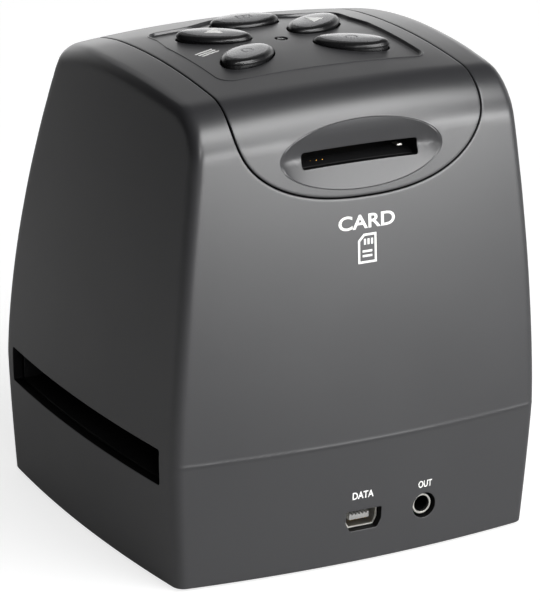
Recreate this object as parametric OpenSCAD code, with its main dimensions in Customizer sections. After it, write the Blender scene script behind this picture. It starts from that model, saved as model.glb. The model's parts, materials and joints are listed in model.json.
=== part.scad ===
// Film negative scanner: a free-standing box that pictures 35 mm film pushed through a side channel.
// Heights in this file are measured from the lower edge of the shell, and lift() adds the feet.
// +X is the user's right, +Y is the rear with the sockets, -Y is the front with the screen.

/* [Shell] */
// Width of the shell at its widest height
body_w = 88; // [86:1:92]
// Depth of the shell at its widest height
body_d = 86; // [84:1:90]
// Height of the shell without its feet
body_h = 100.5; // [100:0.1:101]
// Wall thickness of the moulded shells
wall = 2.2; // [1.9:0.1:2.3]
// Height of the widest level, where the rear has its crease
crease_h = 26.1; // [25:0.1:28]
// How far each side has come in at the top
side_taper = 7.4; // [6:0.2:8]
// How far the rear has come in at the top
rear_taper = 4.8; // [4:0.2:6]
// How far the front leans back at the top
front_lean = 18.8; // [17:0.1:19]
// How far the middle of each side bulges past its corners
side_bulge = 2.6; // [1.5:0.1:2.7]
// How far the middle of the front and rear bulges past their corners
end_bulge = 3.6; // [2:0.1:3.7]
// Radius of the rounded edge between the top and the rear
rear_edge_r = 8; // [7:0.5:10]
// Radius of the rounded edge between the top and the front
front_edge_r = 2.5; // [2:0.5:4]
// Radius of the rounded edge between the top and each side, towards the rear
side_edge_r = 1.8; // [1.6:0.1:2.4]
// Radius of that edge at its front end
side_edge_front_r = 4.5; // [3.5:0.5:5]
// Radius of the upright corners at the rear
rear_corner_r = 1.8; // [1.6:0.1:2.4]
// Radius of the upright corners at the front
front_corner_r = 3.2; // [2.6:0.2:4]
// How far the rubber feet stand below the shell
foot_h = 0.8; // [0.6:0.1:1.2]

/* [Top cover] */
// Half the width of the cover where it turns down the rear
cover_half_w = 28.2; // [27.5:0.1:28.5]
// How far the tongue comes down the rear below its widest level
tongue_drop = 18.1; // [17:0.1:19]
// Depth of the recess around the keys
recess_depth = 0.5; // [0.4:0.1:0.8]

/* [Keys] */
// Length of an oval key
key_l = 15.4; // [15:0.2:16.4]
// Width of an oval key
key_w = 9; // [8.6:0.2:9.4]
// How far a key stands above the recess
key_rise = 1.5; // [1.4:0.1:2]
// How far a key goes down when pressed
key_travel = 0.6; // [0.4:0.1:0.6]

/* [Card slot] */
// Width of the slot for a memory card
slot_w = 25.8; // [25:0.2:26.4]
// Height of the slot for a memory card
slot_h = 3; // [2.6:0.1:3.2]
// Height of the middle of the card slot
card_h = 84.7; // [84.5:0.1:85.5]
// Half the width of the finger scoop around the slot
scoop_half_w = 17.8; // [17:0.1:18.5]
// Half the height of the finger scoop
scoop_half_h = 6.7; // [6.5:0.1:7.1]
// Height of the middle of the finger scoop
scoop_h = 85.4; // [85:0.1:86]
// How far a card moves in to latch or to let go
card_travel = 2.5; // [2:0.1:2.6]

/* [Sockets] */
// Height of the middle of the audio and video jack
jack_h = 9.1; // [8.9:0.1:9.4]
// Bore of the audio and video jack
jack_bore = 3.6; // [3.5:0.1:3.6]
// Distance of the jack from the middle of the rear
jack_x = 14.4; // [13:0.1:15]

/* [Film channel] */
// Width of the channel for the film holder, front to rear
film_w = 68; // [66:1:68]
// Height of the channel for the film holder
film_h = 7.3; // [6.6:0.1:7.4]
// Height of the floor of the channel
film_floor = 20.9; // [20.8:0.1:21.2]

/* [Hidden] */
$fn = 32;

// Colours
SHELL_BLACK = "#3c3c3e";
KEY_GREY = "#505052";
DARK = "#1b1b1d";
BOARD_GREEN = "#1f5b38";
STEEL = "#b9bcc0";
GOLD = "#c9a24a";
CLEAR = "#a9bccb";
WHITE = "#e9e9e4";
COPPER = "#b5713c";

module lift() {
    translate([0, 0, foot_h]) children();
}

// A flat outline drawn in (x, height), drawn out from y0 to y1
module along_y(y0, y1) {
    translate([0, y1, 0]) rotate([90, 0, 0]) linear_extrude(y1 - y0) children();
}

// A flat outline drawn in (y, height), drawn out from x0 to x1
module along_x(x0, x1) {
    translate([x0, 0, 0]) rotate([90, 0, 90]) linear_extrude(x1 - x0) children();
}

module block(x, y, z) {
    translate([x[0], y[0], z[0]]) cube([x[1] - x[0], y[1] - y[0], z[1] - z[0]]);
}

module peg(x, y, z, r) {
    translate([x, y, z[0]]) cylinder(h = z[1] - z[0], r = r);
}

// ---- The skin: every outer and inner surface of the shell comes from these rules ----
arch_r = 185;
arch_y = 2.2;
crown = 3;
// In front of this depth the top falls away faster
nose_y = -10;
nose_drop = 0.004;
edge_start_h = body_h - 9;
edge_full_h = body_h - 3;
edge_front_y = -24;
side_tuck = 1.5;
end_tuck = 1.1;

function rise(h) = max(0, (h - crease_h) / (body_h - crease_h));
function fall(h) = max(0, (crease_h - h) / crease_h);
function half_width(h) = body_w / 2 - side_taper * pow(rise(h), 1.5) - side_tuck * pow(fall(h), 1.3);
function rear_y(h) = body_d / 2 - rear_taper * pow(rise(h), 2) - end_tuck * fall(h);
function front_y(h) = body_d / 2 - front_lean * pow(rise(h), 1.72) - end_tuck * fall(h);
function nose(y) = nose_drop * pow(min(0, y - nose_y), 2);
function top_at(x, y) =
    body_h - pow(y - arch_y, 2) / (2 * arch_r) - nose(y) - crown * pow(2 * x / body_w, 2);
function side_gap(p) = abs(p.x) - half_width(p.z) + side_bulge * pow(2 * p.y / body_d, 2);
function end_gap(p) = max(p.y - rear_y(p.z), -p.y - front_y(p.z)) + end_bulge * pow(2 * p.x / body_w, 2);
function top_gap(p) = p.z - top_at(p.x, p.y);
function blend(a, b, r) = a > -r && b > -r ? norm([a + r, b + r]) - r : max(a, b);
function share(v, from, to) = min(1, max(0, (v - from) / (to - from)));
function upper_r(y) = side_edge_r + (side_edge_front_r - side_edge_r) * pow(share(y, 0, edge_front_y), 2);
function corner_r(y) = y > 0 ? rear_corner_r : front_corner_r;
// The upright corner's radius turns into the upper edge's radius as it rises
function side_r(p) =
    let (up = share(p.z, edge_start_h, edge_full_h)) corner_r(p.y) * (1 - up) + upper_r(p.y) * up;
function end_r(y) = y > 0 ? rear_edge_r : front_edge_r;
// Below zero inside the skin that lies inset under the outer surface, and above zero outside it
function skin_gap(p, inset) = blend(
    blend(end_gap(p) + inset, top_gap(p) + inset, max(end_r(p.y) - inset, 0.5)),
    side_gap(p) + inset,
    max(side_r(p) - inset, 0.5)
);
// How far from o, along d, the skin lies, found by halving the stretch between near and far
function reach(o, d, inset, near, far, steps = 15) =
    let (middle = (near + far) / 2)
    steps == 0 ? middle
    : skin_gap(o + middle * d, inset) > 0 ? reach(o, d, inset, near, middle, steps - 1)
    : reach(o, d, inset, middle, far, steps - 1);

// Points round one level: these shares of each side's half length, closest at the corners
ALONG = [-1, -0.97, -0.94, -0.85, -0.66, -0.44, -0.22, 0, 0.22, 0.44, 0.66, 0.85, 0.94, 0.97];
AROUND = 4 * len(ALONG);
function middle_y(h) = (rear_y(h) - front_y(h)) / 2;
function aim(i, h, inset) =
    let (
        side = floor(i / len(ALONG)),
        t = ALONG[i % len(ALONG)],
        x = half_width(h) - side_bulge - inset,
        y = (rear_y(h) + front_y(h)) / 2 - end_bulge - inset
    )
    side == 0 ? [x, y * t] : side == 1 ? [-x * t, y] : side == 2 ? [-x, -y * t] : [x * t, -y];
function heading(i, h, inset) = let (a = aim(i, h, inset)) [a.x, a.y, 0] / norm(a);
function centre(h) = [0, middle_y(h), h];
function wall_reach(i, h, inset) = reach(centre(h), heading(i, h, inset), inset, 10, 80);
function wall_ring(h, inset) =
    [for (i = [0 : AROUND - 1]) centre(h) + heading(i, h, inset) * wall_reach(i, h, inset)];

// Above this level the rings turn over the edge, seen from points set this far in from the wall
turn_h = 86;
turn_in = 14;
TURN_ANGLES = [0, 14, 26, 34, 40, 46, 52, 60, 70, 80, 90];
function turn_ring(angle, inset) = [
    for (i = [0 : AROUND - 1])
        let (
            way = heading(i, turn_h, inset),
            from = centre(turn_h) + way * (wall_reach(i, turn_h, inset) - turn_in),
            d = way * cos(angle) + [0, 0, sin(angle)]
        )
        from + d * reach(from, d, inset, 0, 40)
];
function top_ring(share, inset) = [
    for (i = [0 : AROUND - 1])
        let (
            way = heading(i, turn_h, inset),
            from = centre(turn_h) + way * (wall_reach(i, turn_h, inset) - turn_in) * share
        )
        from + [0, 0, reach(from, [0, 0, 1], inset, 0, 40)]
];
LEVELS = [0, 7, 14, 20, crease_h, 34, 43, 52, 61, 70, 78];
function skin_rings(inset, below) = concat(
    below > 0 ? [[for (p = wall_ring(0, inset)) p - [0, 0, below]]] : [],
    [for (h = LEVELS) wall_ring(h, inset)],
    [for (angle = TURN_ANGLES) turn_ring(angle, inset)],
    [for (share = [0.7, 0.35]) top_ring(share, inset)]
);

// The solid inside the skin. below draws its foot down so that it cuts through an open lower edge.
module skin_solid(inset = 0, below = 0) {
    rings = skin_rings(inset, below);
    n = AROUND;
    last = len(rings) - 1;
    apex = centre(turn_h) + [0, 0, reach(centre(turn_h), [0, 0, 1], inset, 0, 40)];
    polyhedron(
        points = concat([for (ring = rings) each ring], [apex]),
        faces = concat(
            [[for (i = [0 : n - 1]) i]],
            [
                for (k = [0 : last - 1], i = [0 : n - 1])
                    let (j = (i + 1) % n)
                    each [[k * n + i, k * n + n + j, k * n + j], [k * n + i, k * n + n + i, k * n + n + j]]
            ],
            [for (i = [0 : n - 1]) [last * n + i, (last + 1) * n, last * n + (i + 1) % n]]
        )
    );
}

// The inner plan of the shell at one level, as a flat outline
module inner_plan(h, clear) {
    polygon([for (p = wall_ring(h, wall + clear)) [p.x, p.y]]);
}

module oval(a, b, steps = 36) {
    polygon([for (i = [0 : steps - 1]) [a * cos(i * 360 / steps), b * sin(i * 360 / steps)]]);
}

// ---- Parting lines of the top cover ----
tongue_h = 94.9;
cover_front_h = 90;
part_bend = 0.0002;
function part_x(y) = cover_half_w - part_bend * pow(min(y - 34, 0), 2);
TONGUE_POWER = 2.4;
function tongue_low(x) =
    tongue_h - tongue_drop * pow(max(0, 1 - pow(abs(x) / cover_half_w, TONGUE_POWER)), 1 / TONGUE_POWER);

module cover_plan(grow = 0) {
    ys = [for (i = [0 : 10]) -60 + i * 12];
    polygon(concat(
        [for (y = ys) [part_x(max(y, -30)) + grow, y]],
        [for (i = [10 : -1 : 0]) [-part_x(max(ys[i], -30)) - grow, ys[i]]]
    ));
}

// Half steps crowd towards the ends, where the tongue's line is steep
function tongue_x(i, steps) = -cover_half_w * cos(i * 180 / steps);
module tongue_outline() {
    steps = 28;
    polygon(concat(
        [for (i = [0 : steps]) [tongue_x(i, steps), tongue_low(tongue_x(i, steps))]],
        [[cover_half_w, body_h + 20], [-cover_half_w, body_h + 20]]
    ));
}

module cover_zone() {
    intersection() {
        translate([0, 0, turn_h - 20]) linear_extrude(60) cover_plan();
        union() {
            along_y(5, 60) tongue_outline();
            along_y(-60, 5) translate([-40, cover_front_h]) square([80, 40]);
        }
    }
}

// ---- Front panel and screen ----
panel_half_w = part_x(-30);
panel_low = 36;
lcd_h = 66;
window_w = 49.4;
window_h = 37.4;

module panel_outline(shrink = 0) {
    r = 5;
    hull() {
        for (s = [-1, 1]) translate([s * (panel_half_w - r), panel_low + r]) circle(r = r - shrink);
        translate([-panel_half_w + shrink, cover_front_h - 1 - shrink])
            square([2 * (panel_half_w - shrink), 1]);
    }
}

// The front wall alone, from one depth under the outer surface to another
module front_wall(outer, inner) {
    nx = 10;
    nh = 12;
    low = panel_low - 1;
    dx = 2 * (panel_half_w + 1) / nx;
    dh = (cover_front_h + 1 - low) / nh;
    half = (nx + 1) * (nh + 1);
    function id(i, j, back) = (back ? half : 0) + i * (nh + 1) + j;
    function spot(i, j, depth) =
        let (x = -panel_half_w - 1 + i * dx, h = low + j * dh)
        [x, end_bulge * pow(2 * x / body_w, 2) + depth - front_y(h), h];
    polyhedron(
        points = [for (depth = [outer, inner], i = [0 : nx], j = [0 : nh]) spot(i, j, depth)],
        faces = concat(
            [
                for (i = [0 : nx - 1], j = [0 : nh - 1])
                    each [
                        [id(i, j, false), id(i, j + 1, false), id(i + 1, j + 1, false)],
                        [id(i, j, false), id(i + 1, j + 1, false), id(i + 1, j, false)],
                        [id(i, j, true), id(i + 1, j + 1, true), id(i, j + 1, true)],
                        [id(i, j, true), id(i + 1, j, true), id(i + 1, j + 1, true)]
                    ]
            ],
            [
                for (i = [0 : nx - 1])
                    each [
                        [id(i, 0, false), id(i + 1, 0, false), id(i + 1, 0, true), id(i, 0, true)],
                        [id(i, nh, true), id(i + 1, nh, true), id(i + 1, nh, false), id(i, nh, false)]
                    ]
            ],
            [
                for (j = [0 : nh - 1])
                    each [
                        [id(0, j, true), id(0, j + 1, true), id(0, j + 1, false), id(0, j, false)],
                        [id(nx, j, false), id(nx, j + 1, false), id(nx, j + 1, true), id(nx, j, true)]
                    ]
            ]
        )
    );
}

module window_outline(grow = 0) {
    translate([-window_w / 2 - grow, lcd_h - window_h / 2 - grow])
        square([window_w + 2 * grow, window_h + 2 * grow]);
}

// ---- Keys: their middles. The long way of each heads for one spot between them. ----
hub_y = 5;
LIGHT = [-0.3, 4.6];
function facing(p) = atan2(p.y - hub_y, p.x);
KEY_UP = [11.6, -2.1];
KEY_DOWN = [-11.6, -2.1];
KEY_MENU = [11.9, 12.9];
KEY_POWER = [-11.9, 12.9];
KEY_MODE = [0, -10.7];
KEYS = [KEY_UP, KEY_DOWN, KEY_MENU, KEY_POWER, KEY_MODE];
key_gap = 0.2;
function key_angle(p) = p.x == 0 ? 0 : facing(p);
function floor_at(p) = top_at(p.x, p.y) - recess_depth;
function under_at(p) = top_at(p.x, p.y) - wall;

module at_key(p) {
    translate([p.x, p.y, 0]) rotate([0, 0, key_angle(p)]) children();
}

// An oval solid whose size changes from level to level: rows of [height, half length, half width]
module oval_stack(rows, steps = 36) {
    n = steps;
    last = len(rows) - 1;
    polyhedron(
        points = [
            for (row = rows, i = [0 : n - 1])
                [row[1] * cos(i * 360 / n), row[2] * sin(i * 360 / n), row[0]]
        ],
        faces = concat(
            [[for (i = [0 : n - 1]) i]],
            [
                for (k = [0 : last - 1], i = [0 : n - 1])
                    let (j = (i + 1) % n)
                    each [[k * n + i, k * n + n + j, k * n + j], [k * n + i, k * n + n + i, k * n + n + j]]
            ],
            [[for (i = [n - 1 : -1 : 0]) last * n + i]]
        )
    );
}

// ---- Levels inside ----
base_top = 2.2;
io_top = 6.7;
board_t = 1.6;
guide_t = 1.8;
channel_top = film_floor + film_h;
main_top = card_h - 1.4;
key_board_top = 93;
sensor_h = 66;
lens_shelf = 50;
screw_r = 1;

// ---- Recess, scoop and openings ----
recess_half_w = 23.2;
recess_rear = 24;
recess_front = -12.6;
module recess_plan() {
    r = 3;
    hull() {
        for (s = [-1, 1], y = [recess_front + r, recess_rear - r])
            translate([s * (recess_half_w - r - (y > 0 ? 0 : 1)), y]) circle(r = r);
    }
    translate([0, KEY_MODE.y]) oval(key_l / 2 + 2, key_w / 2 + 2);
}

// Everything above the recess floor, which follows the top of the shell
module above_floor() {
    nx = 8;
    ny = 10;
    x0 = -30;
    y0 = -25;
    dx = 60 / nx;
    dy = 60 / ny;
    function id(i, j, top) = (top ? (nx + 1) * (ny + 1) : 0) + i * (ny + 1) + j;
    function place(i, j) = [x0 + i * dx, y0 + j * dy];
    polyhedron(
        points = concat(
            [for (i = [0 : nx], j = [0 : ny]) [place(i, j).x, place(i, j).y, floor_at(place(i, j))]],
            [for (i = [0 : nx], j = [0 : ny]) [place(i, j).x, place(i, j).y, body_h + 5]]
        ),
        faces = concat(
            [
                for (i = [0 : nx - 1], j = [0 : ny - 1])
                    each [
                        [id(i, j, false), id(i + 1, j, false), id(i + 1, j + 1, false)],
                        [id(i, j, false), id(i + 1, j + 1, false), id(i, j + 1, false)],
                        [id(i, j, true), id(i + 1, j + 1, true), id(i + 1, j, true)],
                        [id(i, j, true), id(i, j + 1, true), id(i + 1, j + 1, true)]
                    ]
            ],
            [
                for (i = [0 : nx - 1])
                    each [
                        [id(i, 0, false), id(i, 0, true), id(i + 1, 0, true), id(i + 1, 0, false)],
                        [id(i + 1, ny, false), id(i + 1, ny, true), id(i, ny, true), id(i, ny, false)]
                    ]
            ],
            [
                for (j = [0 : ny - 1])
                    each [
                        [id(0, j + 1, false), id(0, j + 1, true), id(0, j, true), id(0, j, false)],
                        [id(nx, j, false), id(nx, j, true), id(nx, j + 1, true), id(nx, j + 1, false)]
                    ]
            ]
        )
    );
}

// How deep the finger scoop is at a share of its half width and height
scoop_depth = 2.3;
dish_power = 1.5;
function dish(share) = scoop_depth * (share < 1 ? 1 - pow(share, dish_power) : dish_power * (1 - share));

// A round-edged plug from plane y_end to the rear skin, set in by the depth given for each ring
module rear_plug(a, b, y_end, depths) {
    n = 36;
    m = len(depths);
    function spot(k, i) =
        let (
            s = (k + 1) / m,
            x = a * s * cos(i * 360 / n),
            h = scoop_h + b * s * sin(i * 360 / n)
        )
        [x, rear_y(h) - end_bulge * pow(2 * x / body_w, 2) - depths[k], h];
    function far_spot(i) = let (p = spot(m - 1, i)) [p.x, y_end, p.z];
    inner = [0, rear_y(scoop_h) - depths[0], scoop_h];
    rings = concat(
        [for (k = [0 : m - 1]) [for (i = [0 : n - 1]) spot(k, i)]],
        [[for (i = [0 : n - 1]) far_spot(i)]]
    );
    points = concat([for (ring = rings) each ring], [inner]);
    tip = (m + 1) * n;
    flip = y_end > body_d / 2;
    function turned(f) = flip ? [for (i = [len(f) - 1 : -1 : 0]) f[i]] : f;
    polyhedron(
        points = points,
        faces = concat(
            [for (i = [0 : n - 1]) turned([tip, i, (i + 1) % n])],
            [
                for (k = [0 : m - 1], i = [0 : n - 1])
                    let (j = (i + 1) % n)
                    each [
                        turned([k * n + i, k * n + n + i, k * n + n + j]),
                        turned([k * n + i, k * n + n + j, k * n + j])
                    ]
            ],
            [turned([for (i = [n - 1 : -1 : 0]) m * n + i])]
        )
    );
}

module card_opening(grow = 0) {
    translate([-slot_w / 2 - grow, card_h - slot_h / 2 - grow])
        square([slot_w + 2 * grow, slot_h + 2 * grow]);
}

usb_w = 7.7;
usb_t = 3.9;
usb_h = io_top + 0.1 + usb_t / 2;
module usb_outline(grow = 0) {
    w = usb_w / 2 + grow;
    t = usb_t / 2 + grow;
    translate([0, usb_h])
        polygon([[-w, t], [-w, -t * 0.15], [-w + 0.9, -t], [w - 0.9, -t], [w, -t * 0.15], [w, t]]);
}

// ---- Shells ----
BOSSES = [[34, 31], [-34, 31], [34, -31], [-34, -31]];
boss_r = 3;
boss_wall = 41.2;
jack_hole_r = 2.9;

module housing() {
    color(SHELL_BLACK) lift() {
        difference() {
            skin_solid();
            skin_solid(wall, 2);
            cover_zone();
            along_y(-60, 0) panel_outline();
            block([-60, 60], [-film_w / 2, film_w / 2], [film_floor, channel_top]);
            along_y(30, 60) usb_outline(0.35);
            translate([-jack_x, 60, jack_h]) rotate([90, 0, 0]) cylinder(h = 30, r = jack_hole_r);
        }
        for (p = BOSSES) {
            difference() {
                union() {
                    peg(p.x, p.y, [base_top, 14], boss_r);
                    // A rib that ties the post to the side wall
                    along_y(p.y - 0.7, p.y + 0.7) translate([p.x > 0 ? p.x : -boss_wall, 4])
                        square([boss_wall - abs(p.x), 10]);
                }
                peg(p.x, p.y, [base_top - 1, 11], screw_r);
            }
        }
    }
}

COVER_POSTS = [[24.5, 32], [-24.5, 32], [24, -8], [-24, -8]];
KEY_POSTS = [[23.4, 5], [-23.4, 5], [0, 23]];

module top_cover() {
    color(SHELL_BLACK) lift() {
        difference() {
            union() {
                intersection() {
                    difference() {
                        skin_solid();
                        skin_solid(wall, 2);
                    }
                    cover_zone();
                }
                rear_plug(scoop_half_w + 1.4, scoop_half_h + 1.4, 34.6, [1, 1, 1, 1]);
            }
            rear_plug(scoop_half_w * 1.06, scoop_half_h * 1.06, 60, [for (s = [1 : 7]) dish(s / 7 * 1.06)]);
            along_y(30, 60) card_opening();
            intersection() {
                translate([0, 0, body_h - 15]) linear_extrude(30) recess_plan();
                above_floor();
            }
            for (p = KEYS) at_key(p) translate([0, 0, 90]) linear_extrude(20)
                oval(key_l / 2 + key_gap, key_w / 2 + key_gap);
            peg(LIGHT.x, LIGHT.y, [90, 110], 1.25);
        }
        for (p = COVER_POSTS) difference() {
            peg(p.x, p.y, [main_top, top_at(p.x, p.y) - (p.y > 20 ? 2.9 : 1.2)], 2.4);
            peg(p.x, p.y, [main_top - 1, main_top + 8], screw_r);
        }
        for (p = KEY_POSTS) difference() {
            peg(p.x, p.y, [key_board_top, top_at(p.x, p.y) - wall + 0.5], 1.9);
            peg(p.x, p.y, [key_board_top - 1, key_board_top + 3.4], 0.8);
        }
    }
}

module front_panel() {
    color(DARK) lift() difference() {
        intersection() {
            front_wall(0, wall);
            along_y(-60, 0) panel_outline();
        }
        along_y(-60, 0) window_outline();
    }
}

module lcd_window() {
    color(CLEAR) lift() intersection() {
        front_wall(0.3, 1.5);
        along_y(-60, 0) window_outline(-0.05);
    }
}

// The screen lies along the chord of the panel behind the window
lcd_lean = atan((front_y(lcd_h - 15) - front_y(lcd_h + 15)) / 30);
lcd_y = -front_y(lcd_h) + wall + 2.7;
module on_screen() {
    translate([0, lcd_y, lcd_h]) rotate([-lcd_lean, 0, 0]) children();
}
module lcd_module() {
    color(DARK) lift() on_screen() {
        translate([-25.5, 0, -21]) cube([51, 2.6, 42]);
        translate([-23, -0.3, -17.5]) cube([46, 0.3, 35]);
    }
}

module base_plate() {
    color(SHELL_BLACK) lift() {
        difference() {
            linear_extrude(base_top) inner_plan(0, 0.1);
            for (p = BOSSES) {
                peg(p.x, p.y, [-1, base_top + 1], 1.3);
                peg(p.x, p.y, [-1, 1], 2.5);
            }
            for (p = GUIDE_LEGS) {
                peg(p.x, p.y, [-1, base_top + 1], 1.3);
                peg(p.x, p.y, [-1, 1], 2.4);
            }
        }
        for (p = IO_POSTS) difference() {
            peg(p.x, p.y, [base_top, io_top - board_t], 2);
            peg(p.x, p.y, [base_top + 0.4, io_top], 0.8);
        }
    }
}

FEET = [[31, 24.5], [-31, 24.5], [31, -24.5], [-31, -24.5]];
module rubber_feet() {
    color(DARK) for (p = FEET) translate([p.x, p.y, 0]) {
        cylinder(h = foot_h, r = 4);
    }
}

module screw(p, low, high, r, head_r, head_t, up = true) {
    // A screw from low to high whose head is at the lower end, or at the upper end
    translate([p.x, p.y, 0]) {
        translate([0, 0, low]) cylinder(h = high - low, r = r);
        translate([0, 0, up ? low : high - head_t]) cylinder(h = head_t, r = head_r);
    }
}

module base_screws() {
    color(STEEL) lift() for (p = BOSSES) screw(p, 0.1, 10, screw_r, 2.2, 0.9);
}

// ---- Keys ----
module key(p) {
    a = key_l / 2;
    b = key_w / 2;
    low = under_at(p);
    top = floor_at(p) + key_rise;
    color(KEY_GREY) lift() at_key(p) {
        oval_stack([
            [low - 1.5, a + 0.7, b + 0.7],
            [low - 0.8, a + 0.7, b + 0.7],
            [low - 0.8, a, b],
            [floor_at(p) + 0.25, a, b],
            [floor_at(p) + 1.0, a - 0.65, b - 0.6],
            [top - 0.15, a - 1.25, b - 1.1],
            [top, a - 1.8, b - 1.6]
        ]);
        translate([0, 0, switch_top - stem_in]) cylinder(h = low - 1 - switch_top + stem_in, r = 1.4);
    }
}
module key_up() { key(KEY_UP); }
module key_down() { key(KEY_DOWN); }
module key_menu() { key(KEY_MENU); }
module key_mode() { key(KEY_MODE); }
module key_power() { key(KEY_POWER); }

switch_top = key_board_top + 2.4;
stem_in = 0.9;
module key_switches() {
    color(DARK) lift() for (p = KEYS) difference() {
        block([p.x - 2.6, p.x + 2.6], [p.y - 2.6, p.y + 2.6], [key_board_top, switch_top]);
        peg(p.x, p.y, [switch_top - stem_in - key_travel - 0.2, switch_top + 1], 1.5);
    }
}

module key_board() {
    color(BOARD_GREEN) lift() difference() {
        block([-26, 26], [-16.5, 26], [key_board_top - board_t, key_board_top]);
        for (p = KEY_POSTS) peg(p.x, p.y, [key_board_top - 5, key_board_top + 1], 1.1);
        for (p = COVER_POSTS) peg(p.x, p.y, [key_board_top - 5, key_board_top + 1], 3);
    }
}

module key_board_screws() {
    color(STEEL) lift() for (p = KEY_POSTS)
        screw(p, key_board_top - board_t - 0.9, key_board_top + 3, 0.8, 1.7, 0.9);
}

module status_light_lens() {
    floor = floor_at(LIGHT);
    color(CLEAR) lift() {
        peg(LIGHT.x, LIGHT.y, [key_board_top + 0.9, floor - 0.05], 1.15);
        peg(LIGHT.x, LIGHT.y, [floor - 2.6, floor - wall + recess_depth - 0.15], 1.9);
    }
}

module status_led() {
    color(WHITE) lift()
        translate([LIGHT.x, LIGHT.y, 0])
            block([-0.8, 0.8], [-0.4, 0.4], [key_board_top, key_board_top + 0.7]);
}

// ---- Main board and card socket ----
module main_board() {
    color(BOARD_GREEN) lift() difference() {
        block([-28.5, 28.5], [-12, 34], [main_top - board_t, main_top]);
        for (p = COVER_POSTS) peg(p.x, p.y, [main_top - 5, main_top + 1], 1.3);
    }
}

module main_chips() {
    color(DARK) lift() {
        low = main_top - board_t;
        block([-8, 6], [4, 18], [low - 1.2, low]);
        block([-27, -20.5], [6, 17], [low - 1, low]);
        block([11, 19], [14, 20], [low - 1, low]);
        block([-19, -13], [-9, -3], [main_top, main_top + 0.9]);
        block([8, 14], [-8, -1], [main_top, main_top + 1.2]);
    }
}

module board_screws() {
    color(STEEL) lift() for (p = COVER_POSTS)
        screw(p, main_top - board_t - 1.1, main_top + 7, screw_r, 2, 1.1);
}

socket_x = 14.6;
socket_y = [7, 34.2];
slider_y = 14;
slider_room_y = 8;
module card_socket_base() {
    color(DARK) lift() difference() {
        block([-socket_x, socket_x], socket_y, [main_top, main_top + 3]);
        // Room for the card
        block([-12.2, 12.2], [slider_y - card_travel - 2, 40], [main_top + 0.7, main_top + 4]);
        // Room for the eject slide along one side
        block([12, 14], [slider_room_y, 30], [main_top + 0.7, main_top + 4]);
    }
}

module card_socket_shell() {
    color(STEEL) lift() {
        block([-socket_x, socket_x], [9, 34.2], [main_top + 3, main_top + 3.3]);
        for (s = [-1, 1])
            block([min(s * socket_x, s * (socket_x + 0.3)), max(s * socket_x, s * (socket_x + 0.3))],
                [9, 33], [main_top, main_top + 3.3]);
    }
}

module card_contacts() {
    color(GOLD) lift() for (i = [0 : 8]) translate([-10.4 + i * 2.5, 0, 0]) {
        block([0, 0.8], [11, 20], [main_top + 0.7, main_top + 0.95]);
        block([0, 0.8], [18.8, 20], [main_top + 0.9, main_top + 1.3]);
    }
}

module card_slider() {
    color(WHITE) lift() {
        block([12.2, 13.8], [slider_y, slider_y + 8], [main_top + 0.8, main_top + 2.6]);
        // The hook that the card's corner pushes on
        block([9.6, 12.3], [slider_y, slider_y + 1.4], [main_top + 1.4, main_top + 2.6]);
    }
}

module card_spring() {
    color(STEEL) lift() translate([13, slider_room_y, main_top + 1.7]) rotate([-90, 0, 0])
        coil(0.6, 0.16, 7, slider_y - slider_room_y);
}

// A coil spring that stands on z = 0, swept as rings of six points along its helix
module coil(r, wire, turns, height) {
    per_turn = 8;
    n = turns * per_turn;
    sides = 6;
    rise_per = (height - 2 * wire) / n;
    function at(k) = [r * cos(k * 360 / per_turn), r * sin(k * 360 / per_turn), wire + k * rise_per];
    function ring(k) =
        let (out = [cos(k * 360 / per_turn), sin(k * 360 / per_turn), 0])
        [for (s = [0 : sides - 1]) at(k) + wire * (out * cos(s * 60) + [0, 0, 1] * sin(s * 60))];
    polyhedron(
        points = [for (k = [0 : n]) each ring(k)],
        faces = concat(
            [[for (s = [0 : sides - 1]) s]],
            [
                for (k = [0 : n - 1], s = [0 : sides - 1])
                    let (t = (s + 1) % sides)
                    each [
                        [k * sides + s, (k + 1) * sides + t, k * sides + t],
                        [k * sides + s, (k + 1) * sides + s, (k + 1) * sides + t]
                    ]
            ],
            [[for (s = [sides - 1 : -1 : 0]) n * sides + s]]
        )
    );
}

// ---- Socket board ----
IO_POSTS = [[11, 25.6], [-26, 25.6]];
module io_board() {
    color(BOARD_GREEN) lift() difference() {
        block([-29.3, 14], [23.5, 38.1], [io_top - board_t, io_top]);
        for (p = IO_POSTS) peg(p.x, p.y, [io_top - 5, io_top + 1], 1.1);
    }
}

module io_chips() {
    color(DARK) lift() {
        block([-5, 0], [25, 30], [io_top, io_top + 1]);
        block([5, 8], [28, 31], [io_top, io_top + 0.8]);
        block([-29, -25], [31, 36], [io_top, io_top + 1.6]);
    }
}

module io_screws() {
    color(STEEL) lift() for (p = IO_POSTS) screw(p, 3.4, io_top + 1, 0.8, 1.8, 1, false);
}

usb_sunk = 1.7;
usb_front = rear_y(usb_h) - usb_sunk;
module usb_socket_shell() {
    color(STEEL) lift() {
        along_y(usb_front - 8.6, usb_front) difference() {
            usb_outline(0);
            usb_outline(-0.35);
        }
        for (s = [-1, 1], y = [usb_front - 7, usb_front - 3.2])
            block([s * 3.4 - 0.35, s * 3.4 + 0.35], [y, y + 1.2], [io_top, usb_h - usb_t / 2 + 0.6]);
    }
}

module usb_socket_insert() {
    color(DARK) lift() {
        along_y(usb_front - 8.6, usb_front - 6.6) usb_outline(-0.36);
        block([-2.5, 2.5], [usb_front - 6.7, usb_front - 0.8], [usb_h - 0.55, usb_h + 0.45]);
    }
    color(GOLD) lift() for (i = [-2 : 2])
        translate([i * 0.8, 0, usb_h])
            block([-0.2, 0.2], [usb_front - 6.5, usb_front - 1], [0.45, 0.6]);
}

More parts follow.
